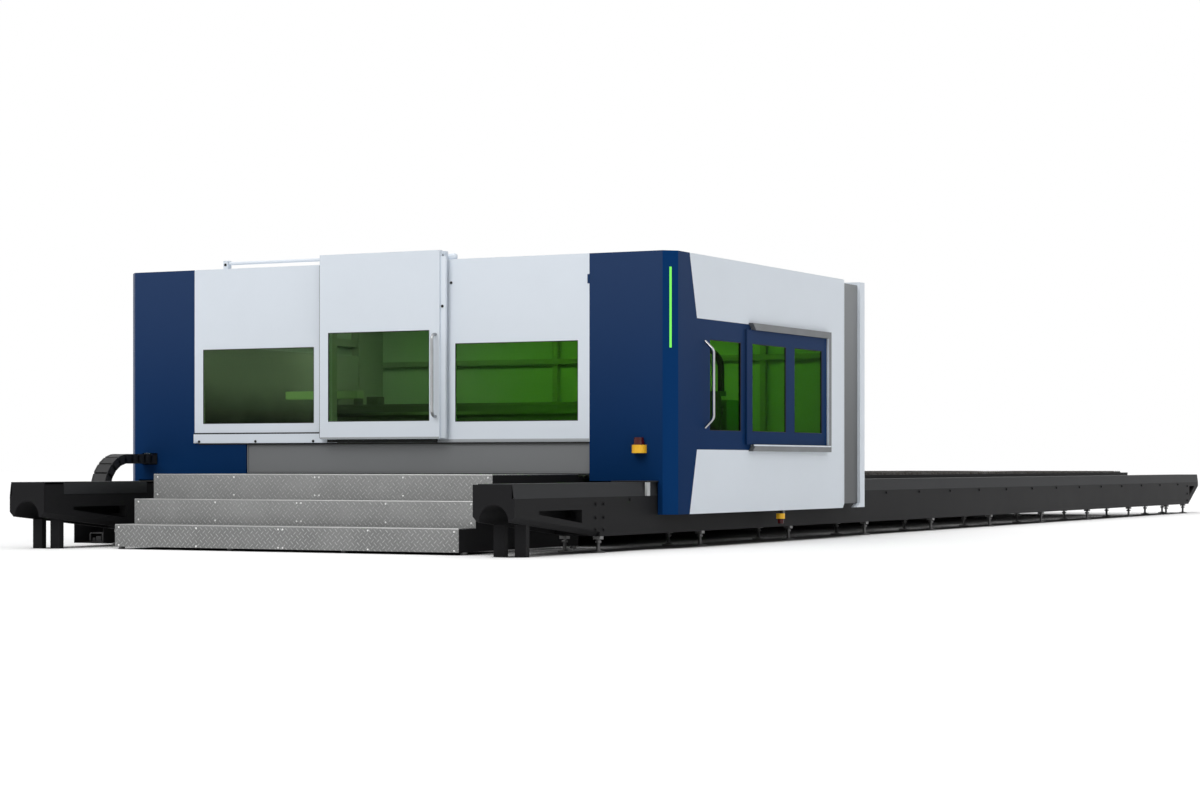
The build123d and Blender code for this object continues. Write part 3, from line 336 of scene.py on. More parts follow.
# Support slats: flame-cut steel strips with a row of teeth along the top, standing loose in the
# side frames. The beam marks them, so the upper part is brown and grey with oxide and spatter.
slat_xs = (-1.435, 1.965)
slat_low, slat_high = 0.48, 0.63
slat_pitch, slat_count = 0.1, 174
slat_thick = 0.006
teeth, tooth_depth = 34, 0.045
table_front = -8.1675
slat_steel, shader, shade = new_material("slat_steel", Metallic=0.3, Specular_IOR_Level=0.1)
place = shade.node("TexCoord", output="Object")
height = place.axis("Z")
scale = place.noise(14.0, 6.0, 0.7)
spatter = shade.node("TexVoronoi", {"Vector": place, "Scale": 160.0})
burnt = height.ramp(0.50, 0.62) * scale.ramp(0.3, 0.7)
tone = burnt.colour((0.115, 0.113, 0.111, 1.0), (0.060, 0.050, 0.043, 1.0))
tone.feed(shader, "Base Color")
(0.45 + burnt * 0.35).feed(shader, "Roughness")
spatter.bump(shader, 0.25, 0.002)
strip = bmesh.new()
bmesh.ops.create_grid(strip, x_segments=2 * teeth, y_segments=1, size=0.5)
width, rise = slat_xs[1] - slat_xs[0], slat_high - slat_low
bmesh.ops.scale(strip, vec=(width, rise, 1.0), verts=strip.verts)
middle = Matrix.Translation((sum(slat_xs) / 2, 0, (slat_low + slat_high) / 2))
bmesh.ops.transform(strip, matrix=middle @ Matrix.Rotation(pi / 2, 4, "X"), verts=strip.verts)
tooth = width / (2 * teeth)
for vert in strip.verts:
    if vert.co.z > slat_high - 0.01 and round((vert.co.x - slat_xs[0]) / tooth) % 2 == 0:
        vert.co.z -= tooth_depth
whole = strip.verts[:] + strip.edges[:] + strip.faces[:]
bmesh.ops.solidify(strip, geom=whole, thickness=slat_thick)
bmesh.ops.recalc_face_normals(strip, faces=strip.faces)
bmesh.ops.translate(strip, vec=(0, -min(v.co.y for v in strip.verts), 0), verts=strip.verts)
slat = bpy.data.meshes.new("slat")
strip.to_mesh(slat)
strip.free()
slat_ys = [table_front + slat_pitch * (n + 0.5) for n in range(slat_count)]
slats = bmesh.new()
repeat(slats, slat, [Matrix.Translation((0, y, 0)) for y in slat_ys])
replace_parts(piece("toothed_slats", slats, slat_steel, "bed", 20), "support_slats")
dress(slat_steel, "scrap_trays")


# Stairs: galvanised checker plate folded over black stringers, one plate to each half of the width.
# The raised lozenges alternate in direction, their tops are worn bright and the hollows hold grime.
# The upper steps are painted lighter than the lowest one: painted light.
checker_plate, shader, shade = new_material("checker_plate", Metallic=0.6)
place = shade.node("TexCoord", output="Object")
across, down = place.axis("X"), place.axis("Y") + place.axis("Z")
lozenge, lozenge_long, lozenge_wide = 0.038, 0.60, 0.13
per_lozenge = 0.7071 / lozenge
first = (across + down) * per_lozenge
second = (across - down) * per_lozenge
swap = (shade.math("FLOOR", first) + shade.math("FLOOR", second)) % 2.0
a, b = first % 1.0 - 0.5, second % 1.0 - 0.5
long_way = a + swap * (b - a)
short_way = b + swap * (a - b)
oval = (long_way * (1 / lozenge_long)) ** 2.0 + (short_way * (1 / lozenge_wide)) ** 2.0
raised = (1.0 - oval).ramp(0.0, 0.55)
wear = place.noise(2.2, 6.0, 0.7)
spangle = shade.node("TexVoronoi", {"Vector": place, "Scale": 70.0}, "Color").axis("X")
# Painted light: the upper steps are lighter than the lowest.
painted_upper_light = place.axis("Z").ramp(0.17, 0.30)
light = wear.ramp(0.3, 0.7) * 0.4 + painted_upper_light * 0.5
hollow = light.colour((0.175, 0.178, 0.177, 1.0), (0.275, 0.278, 0.276, 1.0))
worn = spangle.colour((0.25, 0.253, 0.25, 1.0), (0.40, 0.405, 0.40, 1.0))
raised.colour(hollow, worn).feed(shader, "Base Color")
(0.52 - raised * 0.16 + (spangle - 0.5) * 0.14).feed(shader, "Roughness")
raised.bump(shader, 0.8, 0.002)
dress(checker_plate, "stair_steps", "stair_landing")


# Step nosings and rivets: each fold is a small round edge that catches the light, its lighter colour a
# painted highlight. Dome rivets hold the plates to the stringers in two rows, with a double column where
# the plates meet.
# Painted highlight: the nosing metal is lighter than the checker plate.
nosing_highlight = steel("nosing_highlight", (0.50, 0.50, 0.495), 0.4, 60.0, metallic=0.7, stretch=(0.4, 5.0, 5.0))
step_fronts = (-10.2075, -9.9375, -9.6675)
step_tops = (0.213, 0.426, 0.639)
nosings, rivets = bmesh.new(), bmesh.new()
dome = turned([(0.0085, 0.0), (0.0085, 0.001), (0.007, 0.003), (0.004, 0.0042), (0.0, 0.0046)], 8)
rivet_zinc = steel("rivet_zinc", (0.92, 0.92, 0.91), 0.45, 60.0, metallic=0.2)
columns = (0.012, 0.25, 0.4935, 0.5065, 0.75, 0.988)
rivet_xs = [stair_left + (stair_right - stair_left) * share for share in columns]
rivet_drops = (0.026, 0.178)
nosing_proud, nosing_deep, nosing_round = 0.001, 0.008, 0.0035
for y, z in zip(step_fronts, step_tops):
    low = (stair_left, y - nosing_proud, z - nosing_deep)
    bar(nosings, low, (stair_right, y + nosing_deep, z + nosing_proud), nosing_round)
    spots = [(x, y, z - drop) for drop in rivet_drops for x in rivet_xs]
    repeat(rivets, dome, [facing(spot, (0, -1, 0)) for spot in spots])
piece("stair_nosings", nosings, nosing_highlight, "bed")
piece("stair_rivets", rivets, rivet_zinc, "bed")


# Cable carrier: black moulded links, each two side plates joined by snap-in bars above and below.
# Two cables fill them. The lower run lies in its trough, and the loop rises from it in a half circle
# to the cabin's front.
chain_plastic, shader, shade = new_material("chain_plastic", Specular_IOR_Level=0.4)
place = shade.node("TexCoord", output="Object")
grain = place.noise(700.0, 2.0)
scuff = place.noise(9.0, 7.0, 0.7)
tone = scuff.ramp(0.5, 0.8).colour((0.014, 0.014, 0.015, 1.0), (0.035, 0.035, 0.035, 1.0))
tone.feed(shader, "Base Color")
(0.42 + scuff * 0.25).feed(shader, "Roughness")
grain.bump(shader, 0.12, 0.001)
front = -8.1075
chain_x, chain_half = -2.62, 0.08
link_pitch, link_half = 0.096, 0.045
plate_thick, plate_reach = 0.016, 0.058
snap_bar_reach, cable_reach = 0.0475, 0.048
chain_top, chain_low = 0.820, 0.099
loop_front = front - 0.79
loop_radius = (chain_top - chain_low) / 2
loop_mid = loop_radius - link_half
loop_y = loop_front + loop_radius
loop_z = chain_top - loop_radius
upper_run = front + 0.3 - loop_y
lower_tail = 0.36
link_shape = bmesh.new()
for side in (-1, 1):
    low_x, high_x = sorted((side * chain_half, side * (chain_half - plate_thick)))
    bar(link_shape, (low_x, -plate_reach, -link_half), (high_x, plate_reach, link_half))
corners = [line for line in link_shape.edges if abs(line.verts[0].co.x - line.verts[1].co.x) > 0.01]
rounding = {"offset": 0.016, "segments": 1, "profile": 0.5, "affect": "EDGES", "material": -1}
bmesh.ops.bevel(link_shape, geom=corners, **rounding)
inside = chain_half - plate_thick
for side in (-1, 1):
    low_z, high_z = sorted((side * (link_half - 0.002), side * (link_half - 0.012)))
    bar(link_shape, (-inside, -snap_bar_reach, low_z), (inside, snap_bar_reach, high_z))
for low_x, high_x, high_z in ((-0.05, -0.02, -0.004), (-0.01, 0.045, 0.012)):
    bar(link_shape, (low_x, -cable_reach, -0.030), (high_x, cable_reach, high_z))
link = bpy.data.meshes.new("link")
link_shape.to_mesh(link)
link_shape.free()
loop = bmesh.new()
loop_length = upper_run + pi * loop_mid + lower_tail
spots = []
for n in range(int(loop_length // link_pitch)):
    run = link_pitch * (n + 0.5)
    turn = min(max((run - upper_run) / loop_mid, 0.0), pi)
    before = min(run, upper_run)
    after = max(run - upper_run - pi * loop_mid, 0.0)
    y = loop_y + upper_run - before - loop_mid * sin(turn) + after
    z = loop_z + loop_mid * cos(turn)
    spots.append(Matrix.Translation((chain_x, y, z)) @ Matrix.Rotation(turn, 4, "X"))
repeat(loop, link, spots)
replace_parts(piece("loop_links", loop, chain_plastic, "cabin", 25), "chain_loop")
lower = bmesh.new()
trough_floor = 0.005
lower_links = int((beam_rear - loop_front) // link_pitch)
lower_ys = [loop_front + link_pitch * (n + 0.5) for n in range(lower_links)]
repeat(lower, link, [Matrix.Translation((chain_x, y, trough_floor + link_half)) for y in lower_ys])
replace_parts(piece("lower_links", lower, chain_plastic, "bed", 25), "chain_lower_run")


# Drive motors, carriage motor and cutting head: cast and machined housings in fine black powder coat.
# They are bolted to the end trucks and to the carriage.
powder_coat = paint("powder_coat", (0.022, 0.022, 0.023), 0.5, peel=0.05, dust=0.05)
dress(powder_coat, "drive_motors", "carriage_motor", "cutting_head")


# Gantry beam and cross rails: a closed welded box across the cabin, painted grey and darkened towards
# its left end by painted shade. The carriage runs behind the front windows on two ground rails bolted
# to its face.
gantry_paint, shader, shade = new_material("gantry_paint", Specular_IOR_Level=0.2)
place = shade.node("TexCoord", output="Object")
mottle = place.noise(1.8, 5.0, 0.6)
# Painted shade: the beam goes dark towards its left end.
unshaded = (place.axis("X") + (mottle - 0.5) * 0.6).ramp(-0.9, 0.9)
unshaded.colour((0.15, 0.155, 0.16, 1.0), (0.40, 0.42, 0.43, 1.0)).feed(shader, "Base Color")
(0.36 + mottle * 0.14).feed(shader, "Roughness")
dress(gantry_paint, "gantry_beam")
dress(ground_steel, "cross_rails")


# Cabin frame: square steel tubes welded into a cage, painted light grey like the walls it carries.
# It stands on the end trucks, and the work lights hang from its upper tubes.
frame_paint = paint("frame_paint", (0.50, 0.52, 0.54), 0.45)
dress(frame_paint, "cabin_frame")


# Work lights: two slim aluminium channels across the cabin with a frosted lens, clipped under the roof.
# They light the cutting table so that the operator can watch through the windows.
lens, shader, shade = new_material("work_light_lens", Emission_Strength=24.0, Roughness=0.6)
place = shade.node("TexCoord", output="Object")
rib = shade.node("TexWave", {"Vector": place, "Scale": 40.0, "Distortion": 0.0})
rear = place.axis("Y").ramp(-7.0, -5.2)
glow = (rear + (rib - 0.5) * 0.05).colour((0.56, 0.57, 0.58, 1.0), (1.0, 1.0, 1.0, 1.0))
glow.feed(shader, "Emission Color")
shader.inputs["Base Color"].default_value = (0.9, 0.9, 0.9, 1.0)
light_ys = (-7.25, -5.0)
channel_reach, lens_reach = 2.5, 2.45
channels, lenses = bmesh.new(), bmesh.new()
for y in light_ys:
    bar(channels, (-channel_reach, y - 0.05, 2.480), (channel_reach, y + 0.05, 2.520), 0.004)
    bar(lenses, (-lens_reach, y - 0.035, 2.470), (lens_reach, y + 0.035, 2.482), 0.004)
piece("work_light_channels", channels, frame_paint, "cabin")
piece("work_light_lenses", lenses, lens, "cabin")


# Inner lining and wall tubes: sheet on the left wall, painted shade black low down that fades upwards,
# a plain sheet in the rear corner behind the band, and square tubes that stiffen the rear wall.
left_wall, rear_wall, sheet_thick = -2.784, -3.712, 0.008
lining_paint, shader, shade = new_material("lining_paint", Roughness=0.6, Specular_IOR_Level=0.1)
place = shade.node("TexCoord", output="Object")
height = place.axis("Z")
mottle = place.noise(1.5, 5.0, 0.6)
# Painted shade: the lining is black low down and lightens upwards.
unshaded = (height + (mottle - 0.5) * 0.25).ramp(0.98, 1.62)
unshaded.colour((0.010, 0.010, 0.010, 1.0), (0.50, 0.52, 0.54, 1.0)).feed(shader, "Base Color")
lining, wall_tubes = bmesh.new(), bmesh.new()
bar(lining, (left_wall, -7.90, 0.732), (left_wall + sheet_thick, -4.17, 1.90), 0.002)
piece("wall_lining", lining, lining_paint, "cabin")
bar(wall_tubes, (left_wall, -4.16, 0.70), (left_wall + sheet_thick, rear_wall, 2.46), 0.002)
bar(wall_tubes, (-2.74, rear_wall - 0.063, 1.79), (2.74, rear_wall, 1.85), 0.004)
for x in (-0.61, 0.60, 1.80):
    bar(wall_tubes, (x, rear_wall - 0.060, 0.67), (x + 0.06, rear_wall, 2.38), 0.004)
piece("wall_tubes", wall_tubes, frame_paint, "cabin")


# Gantry bar and junction box: a bar on two feet over the gantry's left end, whose glow is painted light,
# brightest at its far end, and a small grey box beside it where its cable comes in. Both are screwed to
# the gantry's top.
gantry_painted_glow, shader, shade = new_material("gantry_painted_glow", Emission_Strength=0.32, Roughness=0.5)
place = shade.node("TexCoord", output="Object")
# Painted light: the bar glows, brightest at its left end.
reach = place.axis("X").ramp(-2.1, -1.75)
reach.colour((0.55, 0.90, 0.42, 1.0), (0.10, 0.16, 0.08, 1.0)).feed(shader, "Emission Color")
reach.colour((0.5, 0.55, 0.48, 1.0), (0.45, 0.5, 0.43, 1.0)).feed(shader, "Base Color")
gantry_top = 1.320
light_bar, box_shape = bmesh.new(), bmesh.new()
bar(light_bar, (-2.47, -6.06, 1.385), (-1.60, -5.94, 1.465), 0.006)
piece("gantry_glow_bar", light_bar, gantry_painted_glow, "cabin")
bar(box_shape, (-1.50, -6.05, gantry_top), (-1.36, -5.93, 1.402), 0.006)
for x in (-1.95, -1.65):
    bar(box_shape, (x, -6.05, gantry_top), (x + 0.05, -5.95, 1.387), 0.004)
piece("gantry_junction_box", box_shape, gantry_paint, "cabin")


# White cabin panels and roof: folded steel sheet, powder coated a cool semi-gloss white.
# They hang on the frame edge to edge, and the front door is a deeper tray in the same white.
white_paint = paint("white_paint", (0.715, 0.770, 0.835), 0.36, specular=0.2, drifts=0.012)
dress(white_paint, "front_left_panel", "front_right_panel", "front_door_panel", "door_guide_strip")
dress(white_paint, "right_upper_panel", "right_lower_panel", "left_side_panel")
dress(white_paint, "roof_panel", "rear_portal", "rear_panel")


# Blue corner panels, side strips, side door and pocket: the same sheet work in gloss navy.
# The front corners are folded round a chamfer that runs the full height. The paler blue towards the
# roof is a painted reflection, and the lighter blue on the chamfers is painted light.
navy, navy_painted_reflection = (0.0030, 0.027, 0.100), (0.026, 0.050, 0.120)
navy_paint = paint("navy_paint", navy, 0.3, specular=0.01, drifts=0.04, top=navy_painted_reflection)
dress(navy_paint, "front_left_corner_panel", "front_right_corner_panel", "side_front_panels")
dress(navy_paint, "side_door_panel", "pocket_panel")


# Grey apron: a folded sheet between the cabin front and the table, in matt mid grey.
# It stops stray light under the front panels, and a narrow lip carries its sheet down to the landing.
apron_paint = paint("apron_paint", (0.190, 0.197, 0.202), 0.5, specular=0.2, drifts=0.02)
dress(apron_paint, "front_apron")
apron_lip = bmesh.new()
bar(apron_lip, (-1.505, front + 0.0122, 0.644), (2.087, front + 0.0135, 0.6555), 0.0004)
piece("apron_lip", apron_lip, apron_paint, "cabin")


# Rear band: a folded sheet in the recess between the side panels and the rear portal.
# It is painted grey, and its paler tone towards the roof is a painted reflection.
grey, grey_painted_reflection = (0.115, 0.120, 0.125), (0.25, 0.26, 0.27)
band_paint = paint("band_paint", grey, 0.5, specular=0.2, drifts=0.02, top=grey_painted_reflection)
dress(band_paint, "rear_band")


# Laser safety windows: thick green filter glazing that stops the beam and still lets the table be seen.
# Each pane is held in its opening by a thin black rubber gasket.
def glazing(name, index):
    """Green filter glass, a little greyer towards the left, a painted reflection."""
    material, shader, shade = new_material(name, Transmission_Weight=1.0, IOR=index)
    place = shade.node("TexCoord", output="Object")
    smear = place.noise(1.6, 5.0, 0.6)
    # Painted reflection: the tint turns greyer towards the left.
    across = place.axis("X") + (smear - 0.5) * 0.5
    tint = across.ramp(-1.3, 2.0).colour((0.300, 0.430, 0.205, 1.0), (0.100, 0.400, 0.018, 1.0))
    tint.feed(shader, "Base Color")
    (0.01 + smear * 0.03).feed(shader, "Roughness")
    return material


dress(glazing("front_glass", 1.1), "front_windows", "front_door_glass")
dress(glazing("side_glass", 1.03), "pocket_windows", "side_door_glass")
rubber, shader, shade = new_material("gasket_rubber", Specular_IOR_Level=0.3)
place = shade.node("TexCoord", output="Object")
bloom = place.noise(120.0, 3.0)
bloom.colour((0.008, 0.008, 0.008, 1.0), (0.022, 0.022, 0.022, 1.0)).feed(shader, "Base Color")
(0.6 + bloom * 0.2).feed(shader, "Roughness")
cabin_side = 2.895
gasket_wide = 0.006


def front_gasket(shape, x0, x1, z0, z1, y):
    """A rubber strip round the inside of an opening in the front."""
    depth = 0.010
    for low in (z0, z1 - gasket_wide):
        bar(shape, (x0, y, low), (x1, y + depth, low + gasket_wide), 0.002)
    for low in (x0, x1 - gasket_wide):
        bar(shape, (low, y, z0 + gasket_wide), (low + gasket_wide, y + depth, z1 - gasket_wide), 0.002)


def side_gasket(shape, y0, y1, z0, z1, x):
    """The same strip in an opening of the right side."""
    depth = 0.008
    for low in (z0, z1 - gasket_wide):
        bar(shape, (x - depth, y0, low), (x, y1, low + gasket_wide), 0.002)
    for low in (y0, y1 - gasket_wide):
        bar(shape, (x - depth, low, z0 + gasket_wide), (x, low + gasket_wide, z1 - gasket_wide), 0.002)


front_low, front_high = 1.102, 1.8
side_low, side_high = 1.02, 1.82
gaskets = bmesh.new()
for left, right in ((-2.0, -0.756), (0.745, 1.98)):
    front_gasket(gaskets, left, right, front_low, front_high, front + 0.001)
for start, end in ((1.622, 2.399), (2.603, 3.281)):
    side_gasket(gaskets, front + start, front + end, side_low, side_high, cabin_side + 0.020)
piece("window_gaskets", gaskets, rubber, "cabin")
door_gasket = bmesh.new()
front_gasket(door_gasket, -0.55, 0.525, 1.11, 1.92, front - 0.0795)
piece("front_door_gasket", door_gasket, rubber, "front_door")
side_door_gasket = bmesh.new()
side_gasket(side_door_gasket, front + 0.75, front + 1.418, side_low, side_high, cabin_side - 0.002)
piece("side_door_gasket", side_door_gasket, rubber, "side_door")


# Seals: black brush strips that close the gaps light could leave by, under the apron and the rear wall,
# and down the closing edges of the front door. The black strip along the guide strip's top is painted
# shade in the gap there.
seals = bmesh.new()
for start, end in ((0.014, 0.028), (4.404, 4.426)):
    bar(seals, (-1.50, front + start, 0.632), (2.085, front + end, 0.657), 0.003)
# Painted shade: a black strip for the dark gap over the guide strip.
bar(seals, (-2.095, front - 0.014, 1.004), (-0.59, front, 1.018), 0.003)
piece("cabin_seals", seals, rubber, "cabin")
door_seal = bmesh.new()
bar(door_seal, (-0.652, front - 0.070, 0.960), (-0.639, front - 0.024, 2.54), 0.003)
piece("front_door_seal", door_seal, rubber, "front_door")


# Door rail and hangers: a round bar on two blocks at the roof's edge, all painted white, with plated
# sleeves on the door. Black cap screws hold the blocks and the guide strip, and two stand by the
# door's edge. A rounded cap closes the rail's right end.
dress(white_paint, "door_rail")
zinc = steel("zinc_plate", (0.30, 0.30, 0.295), 0.42, 90.0, metallic=0.8)
dress(zinc, "front_door_hangers")
socket_head = [(0.0, 0.002), (0.006, 0.002), (0.006, 0.006)]
socket_head += [(0.0115, 0.006), (0.013, 0.005), (0.013, 0.0)]
socket_screw = turned(socket_head, 10)
dark_zinc = steel("dark_zinc", (0.02, 0.02, 0.022), 0.4, 90.0, metallic=0.5)
block_screws = [(x, front + 0.02, 2.590) for x in (-1.758, 0.60)]
strip_screws = [(x, front - 0.020, 0.936) for x in (-2.03, -1.39, -0.75)]
panel_screw, door_screw = (0.705, front, 2.34), (0.652, front - 0.064, 2.13)
screws, door_screws = bmesh.new(), bmesh.new()
for spot in (*block_screws, *strip_screws, panel_screw):
    repeat(screws, socket_screw, [facing(spot, (0, -1, 0))])
piece("cabin_screws", screws, dark_zinc, "cabin", 30)
repeat(door_screws, socket_screw, [facing(door_screw, (0, -1, 0))])
piece("door_side_screws", door_screws, dark_zinc, "front_door", 30)
rail_cap = bmesh.new()
bar(rail_cap, (0.645, front + 0.020, 2.548), (0.735, front + 0.080, 2.606), 0.024, 4)
piece("door_rail_cap", rail_cap, white_paint, "cabin")


# Door edge strip, hems and sill: a folded strip down the door's closing edge, grey hems along the
# lower edges of the door and the right panel, painted shade in a darker copy of the white, the guide
# strip's end, and black strips under the door and the panels, painted shadow lines.
# Painted shade: the hems are a darker copy of the white paint.
hem_shade_paint = paint("hem_shade_paint", (0.36, 0.38, 0.40), 0.45, specular=0.2, drifts=0.02)
edge_strip, door_hem, hem, shadow_strips, strip_end = (bmesh.new() for _ in range(5))
bar(edge_strip, (0.629, front - 0.064, 0.956), (0.684, front - 0.030, 2.575), 0.004)
piece("door_edge_strip", edge_strip, white_paint, "front_door")
bar(door_hem, (-0.636, front - 0.0808, 0.954), (0.626, front - 0.078, 0.970), 0.001)
piece("door_hem", door_hem, hem_shade_paint, "front_door")
bar(hem, (0.570, front - 0.0015, 0.921), (2.088, front + 0.002, 0.948), 0.001)
piece("panel_hem", hem, hem_shade_paint, "cabin")
# Painted shadow: black strips under the door and along the panels' foot.
bar(shadow_strips, (-0.600, front - 0.018, 0.924), (0.566, front, 0.948), 0.003)
bar(shadow_strips, (-2.05, front - 0.001, 0.906), (2.085, front + 0.012, 0.920), 0.002)
piece("door_shadow_strips", shadow_strips, rubber, "cabin")
bar(strip_end, (-2.096, front - 0.020, 0.922), (-2.059, front, 1.005), 0.003)
piece("guide_strip_end", strip_end, white_paint, "cabin")


# Left side sheets: three folded sheets in the cabin's white, hung on the frame with a thin gap between.
# Quarter-turn latches hold each one, and the middle sheet has two fields of pressed louvres low down,
# each slot a black bar of painted shade under its lip.
sheet_face, sheet_back = -2.8935, -2.866
sheet_front, sheet_wide, sheet_gap = -7.7775, 3.647 / 3, 0.002
latch_zs = (0.38, 1.06, 1.76, 2.46)
louvres, louvre_pitch, louvre_low, louvre_wide = 14, 0.026, 0.55, 0.16
button = [(0.017, 0.0), (0.017, 0.0009), (0.0155, 0.0014)]
button += [(0.005, 0.0014), (0.004, 0.0004), (0.0, 0.0004)]
latch = turned(button, 12)
sheets, latches = bmesh.new(), bmesh.new()
for n in range(3):
    start, end = sheet_front + sheet_wide * n, sheet_front + sheet_wide * (n + 1)
    bar(sheets, (sheet_face, start + sheet_gap, 0.296), (sheet_back, end - sheet_gap, 2.549), 0.004)
    spots = [(start + sheet_wide * share, z) for share in (0.05, 0.95) for z in latch_zs]
    repeat(latches, latch, [facing((sheet_face, y, z), (-1, 0, 0)) for y, z in spots])
for n in (1, 2):
    joint = sheet_front + sheet_wide * n
    bar(sheets, (sheet_back - 0.002, joint - 0.012, 0.30), (sheet_back + 0.002, joint + 0.012, 2.54))
for n in range(louvres):
    for share in (1.32, 1.55):
        start, end = sheet_front + share * sheet_wide, sheet_front + share * sheet_wide + louvre_wide
        low = louvre_low + louvre_pitch * n
        slot_top, lip_top, seat = low + 0.010, low + 0.016, sheet_face + 0.002
        # Painted shade: a black bar in each louvre's slot.
        bar(latches, (sheet_face - 0.0004, start, low), (seat, end, slot_top))
        bar(sheets, (sheet_face - 0.0014, start, slot_top), (seat, end, lip_top), 0.0006, 1)
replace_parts(piece("left_sheets", sheets, white_paint, "cabin"), "left_side_panel")
piece("left_latches_and_louvre_shade", latches, dark_zinc, "cabin", 30)


# Rear wall fittings: two hinged service doors pressed from white sheet, with black grips and hinges,
# and a slatted vent between them over a pale grey backing. All are screwed to the rear panel.
wall = -3.6775
doors, grips, vent = bmesh.new(), bmesh.new(), bmesh.new()
pin = [(0.0, 0.0), (0.010, 0.0), (0.011, 0.001), (0.011, 0.119), (0.010, 0.120), (0.0, 0.120)]
hinge = turned(pin, 10)
door_in, door_out, door_low, door_high, door_rim = 1.10, 2.25, 0.80, 2.32, 0.09
grip_x, hinge_x, hinge_zs = 1.145, 2.262, (0.92, 1.50, 2.08)
vent_slats, vent_pitch, vent_low, vent_half, vent_rim = 15, 0.04, 1.74, 0.60, 0.04
for side in (-1, 1):
    low, high = sorted((side * door_in, side * door_out))
    bar(doors, (low, wall - 0.001, door_low), (high, wall + 0.014, door_high), 0.005)
    low, high = low + door_rim, high - door_rim
    bar(doors, (low, wall, door_low + door_rim), (high, wall + 0.018, door_high - door_rim), 0.004)
    x = side * grip_x
    bar(grips, (x - 0.018, wall + 0.012, 1.46), (x + 0.018, wall + 0.034, 1.62), 0.006)
    repeat(grips, hinge, [Matrix.Translation((side * hinge_x, wall + 0.010, z)) for z in hinge_zs])
bar(vent, (-0.62, wall - 0.001, 1.72), (0.62, wall + 0.003, 2.34))
for n in range(vent_slats):
    low = vent_low + vent_pitch * n
    bar(doors, (-vent_half, wall + 0.002, low), (vent_half, wall + 0.016, low + 0.024), 0.004)
for x in (-vent_half - vent_rim, vent_half):
    bar(doors, (x, wall - 0.001, 1.70), (x + vent_rim, wall + 0.020, 2.36), 0.004)
for z in (1.69, 2.335):
    bar(doors, (-0.64, wall - 0.001, z), (0.64, wall + 0.020, z + vent_rim), 0.004)
piece("rear_doors_and_vent", doors, white_paint, "cabin")
piece("rear_grips_and_hinges", grips, dark_zinc, "cabin", 30)
piece("rear_vent_backing", vent, lining_paint, "cabin")


# Roof fittings: pressed ribs across the sheet, two galvanised spigots for the fume ducts with a rolled
# rim, and four forged lifting eyes on collars. They are bolted through to the frame's upper tubes.
roof = 2.55
ribs, spigots, eyes = bmesh.new(), bmesh.new(), bmesh.new()
rib_ys, rib_half, rib_high = (-6.9, -6.15, -5.4, -4.5), 0.03, 0.012
for y in rib_ys:
    bar(ribs, (-2.70, y - rib_half, roof - 0.001), (2.30, y + rib_half, roof + rib_high), 0.006)
piece("roof_ribs", ribs, white_paint, "cabin")
rim = [(0.25, 0.0), (0.25, 0.006), (0.185, 0.008), (0.180, 0.014), (0.180, 0.062), (0.186, 0.066)]
rim += [(0.184, 0.070), (0.176, 0.066), (0.174, 0.060), (0.174, 0.004), (0.0, 0.004)]
repeat(spigots, turned(rim, 40), [Matrix.Translation((x, -4.95, roof)) for x in (-1.2, 1.2)])
piece("duct_spigots", spigots, zinc, "cabin", 30)
ring = [(0.024 + 0.008 * cos(n * pi / 5), 0.008 * sin(n * pi / 5)) for n in range(11)]
collar = turned([(0.026, 0.0), (0.026, 0.006), (0.014, 0.012), (0.0, 0.012)], 14)
loop_ring = turned(ring, 16)
for x, y in ((-2.4, -7.0), (2.0, -7.0), (-2.4, -4.4), (2.0, -4.4)):
    repeat(eyes, collar, [Matrix.Translation((x, y, roof))])
    repeat(eyes, loop_ring, [facing((x, y, roof + 0.036), (0, 1, 0))])
piece("lifting_eyes", eyes, dark_zinc, "cabin", 30)


# Door handles: bent stainless tube, polished, its ends standing in the door.
# The front one is a long bow and the side one has sloping ends.
def tube(path, radius, bend, sides=20):
    """A round tube: a ring drawn along the straight runs of the path and spun round its bends."""
    shape = bmesh.new()
    corners = [Vector(point) for point in path]
    place, heading = corners[0], (corners[1] - corners[0]).normalized()
    ring = {"segments": sides, "radius": radius, "matrix": facing(place, heading)}
    verts = bmesh.ops.create_circle(shape, **ring)["verts"]
    rim = list(dict.fromkeys(line for vert in verts for line in vert.link_edges))
    for n, corner in enumerate(corners[1:], 1):
        last = n == len(corners) - 1
        turned_to = heading if last else (corners[n + 1] - corner).normalized()
        angle = heading.angle(turned_to)
        reach = corner - heading * bend * tan(angle / 2)
        drawn = bmesh.ops.extrude_edge_only(shape, edges=rim)["geom"]
        verts = [item for item in drawn if isinstance(item, bmesh.types.BMVert)]
        edges = [item for item in drawn if isinstance(item, bmesh.types.BMEdge)]
        rim = [edge for edge in edges if all(vert in verts for vert in edge.verts)]
        bmesh.ops.translate(shape, vec=reach - place, verts=verts)
        place = reach
        if not last:
            axis = heading.cross(turned_to).normalized()
            turn = {"cent": place + axis.cross(heading) * bend, "axis": axis, "angle": angle, "steps": 6}
            spun = bmesh.ops.spin(shape, geom=verts + rim, **turn)["geom_last"]
            verts = [item for item in spun if isinstance(item, bmesh.types.BMVert)]
            rim = [item for item in spun if isinstance(item, bmesh.types.BMEdge)]
            place, heading = corner + turned_to * bend * tan(angle / 2), turned_to
    bmesh.ops.recalc_face_normals(shape, faces=shape.faces)
    return shape


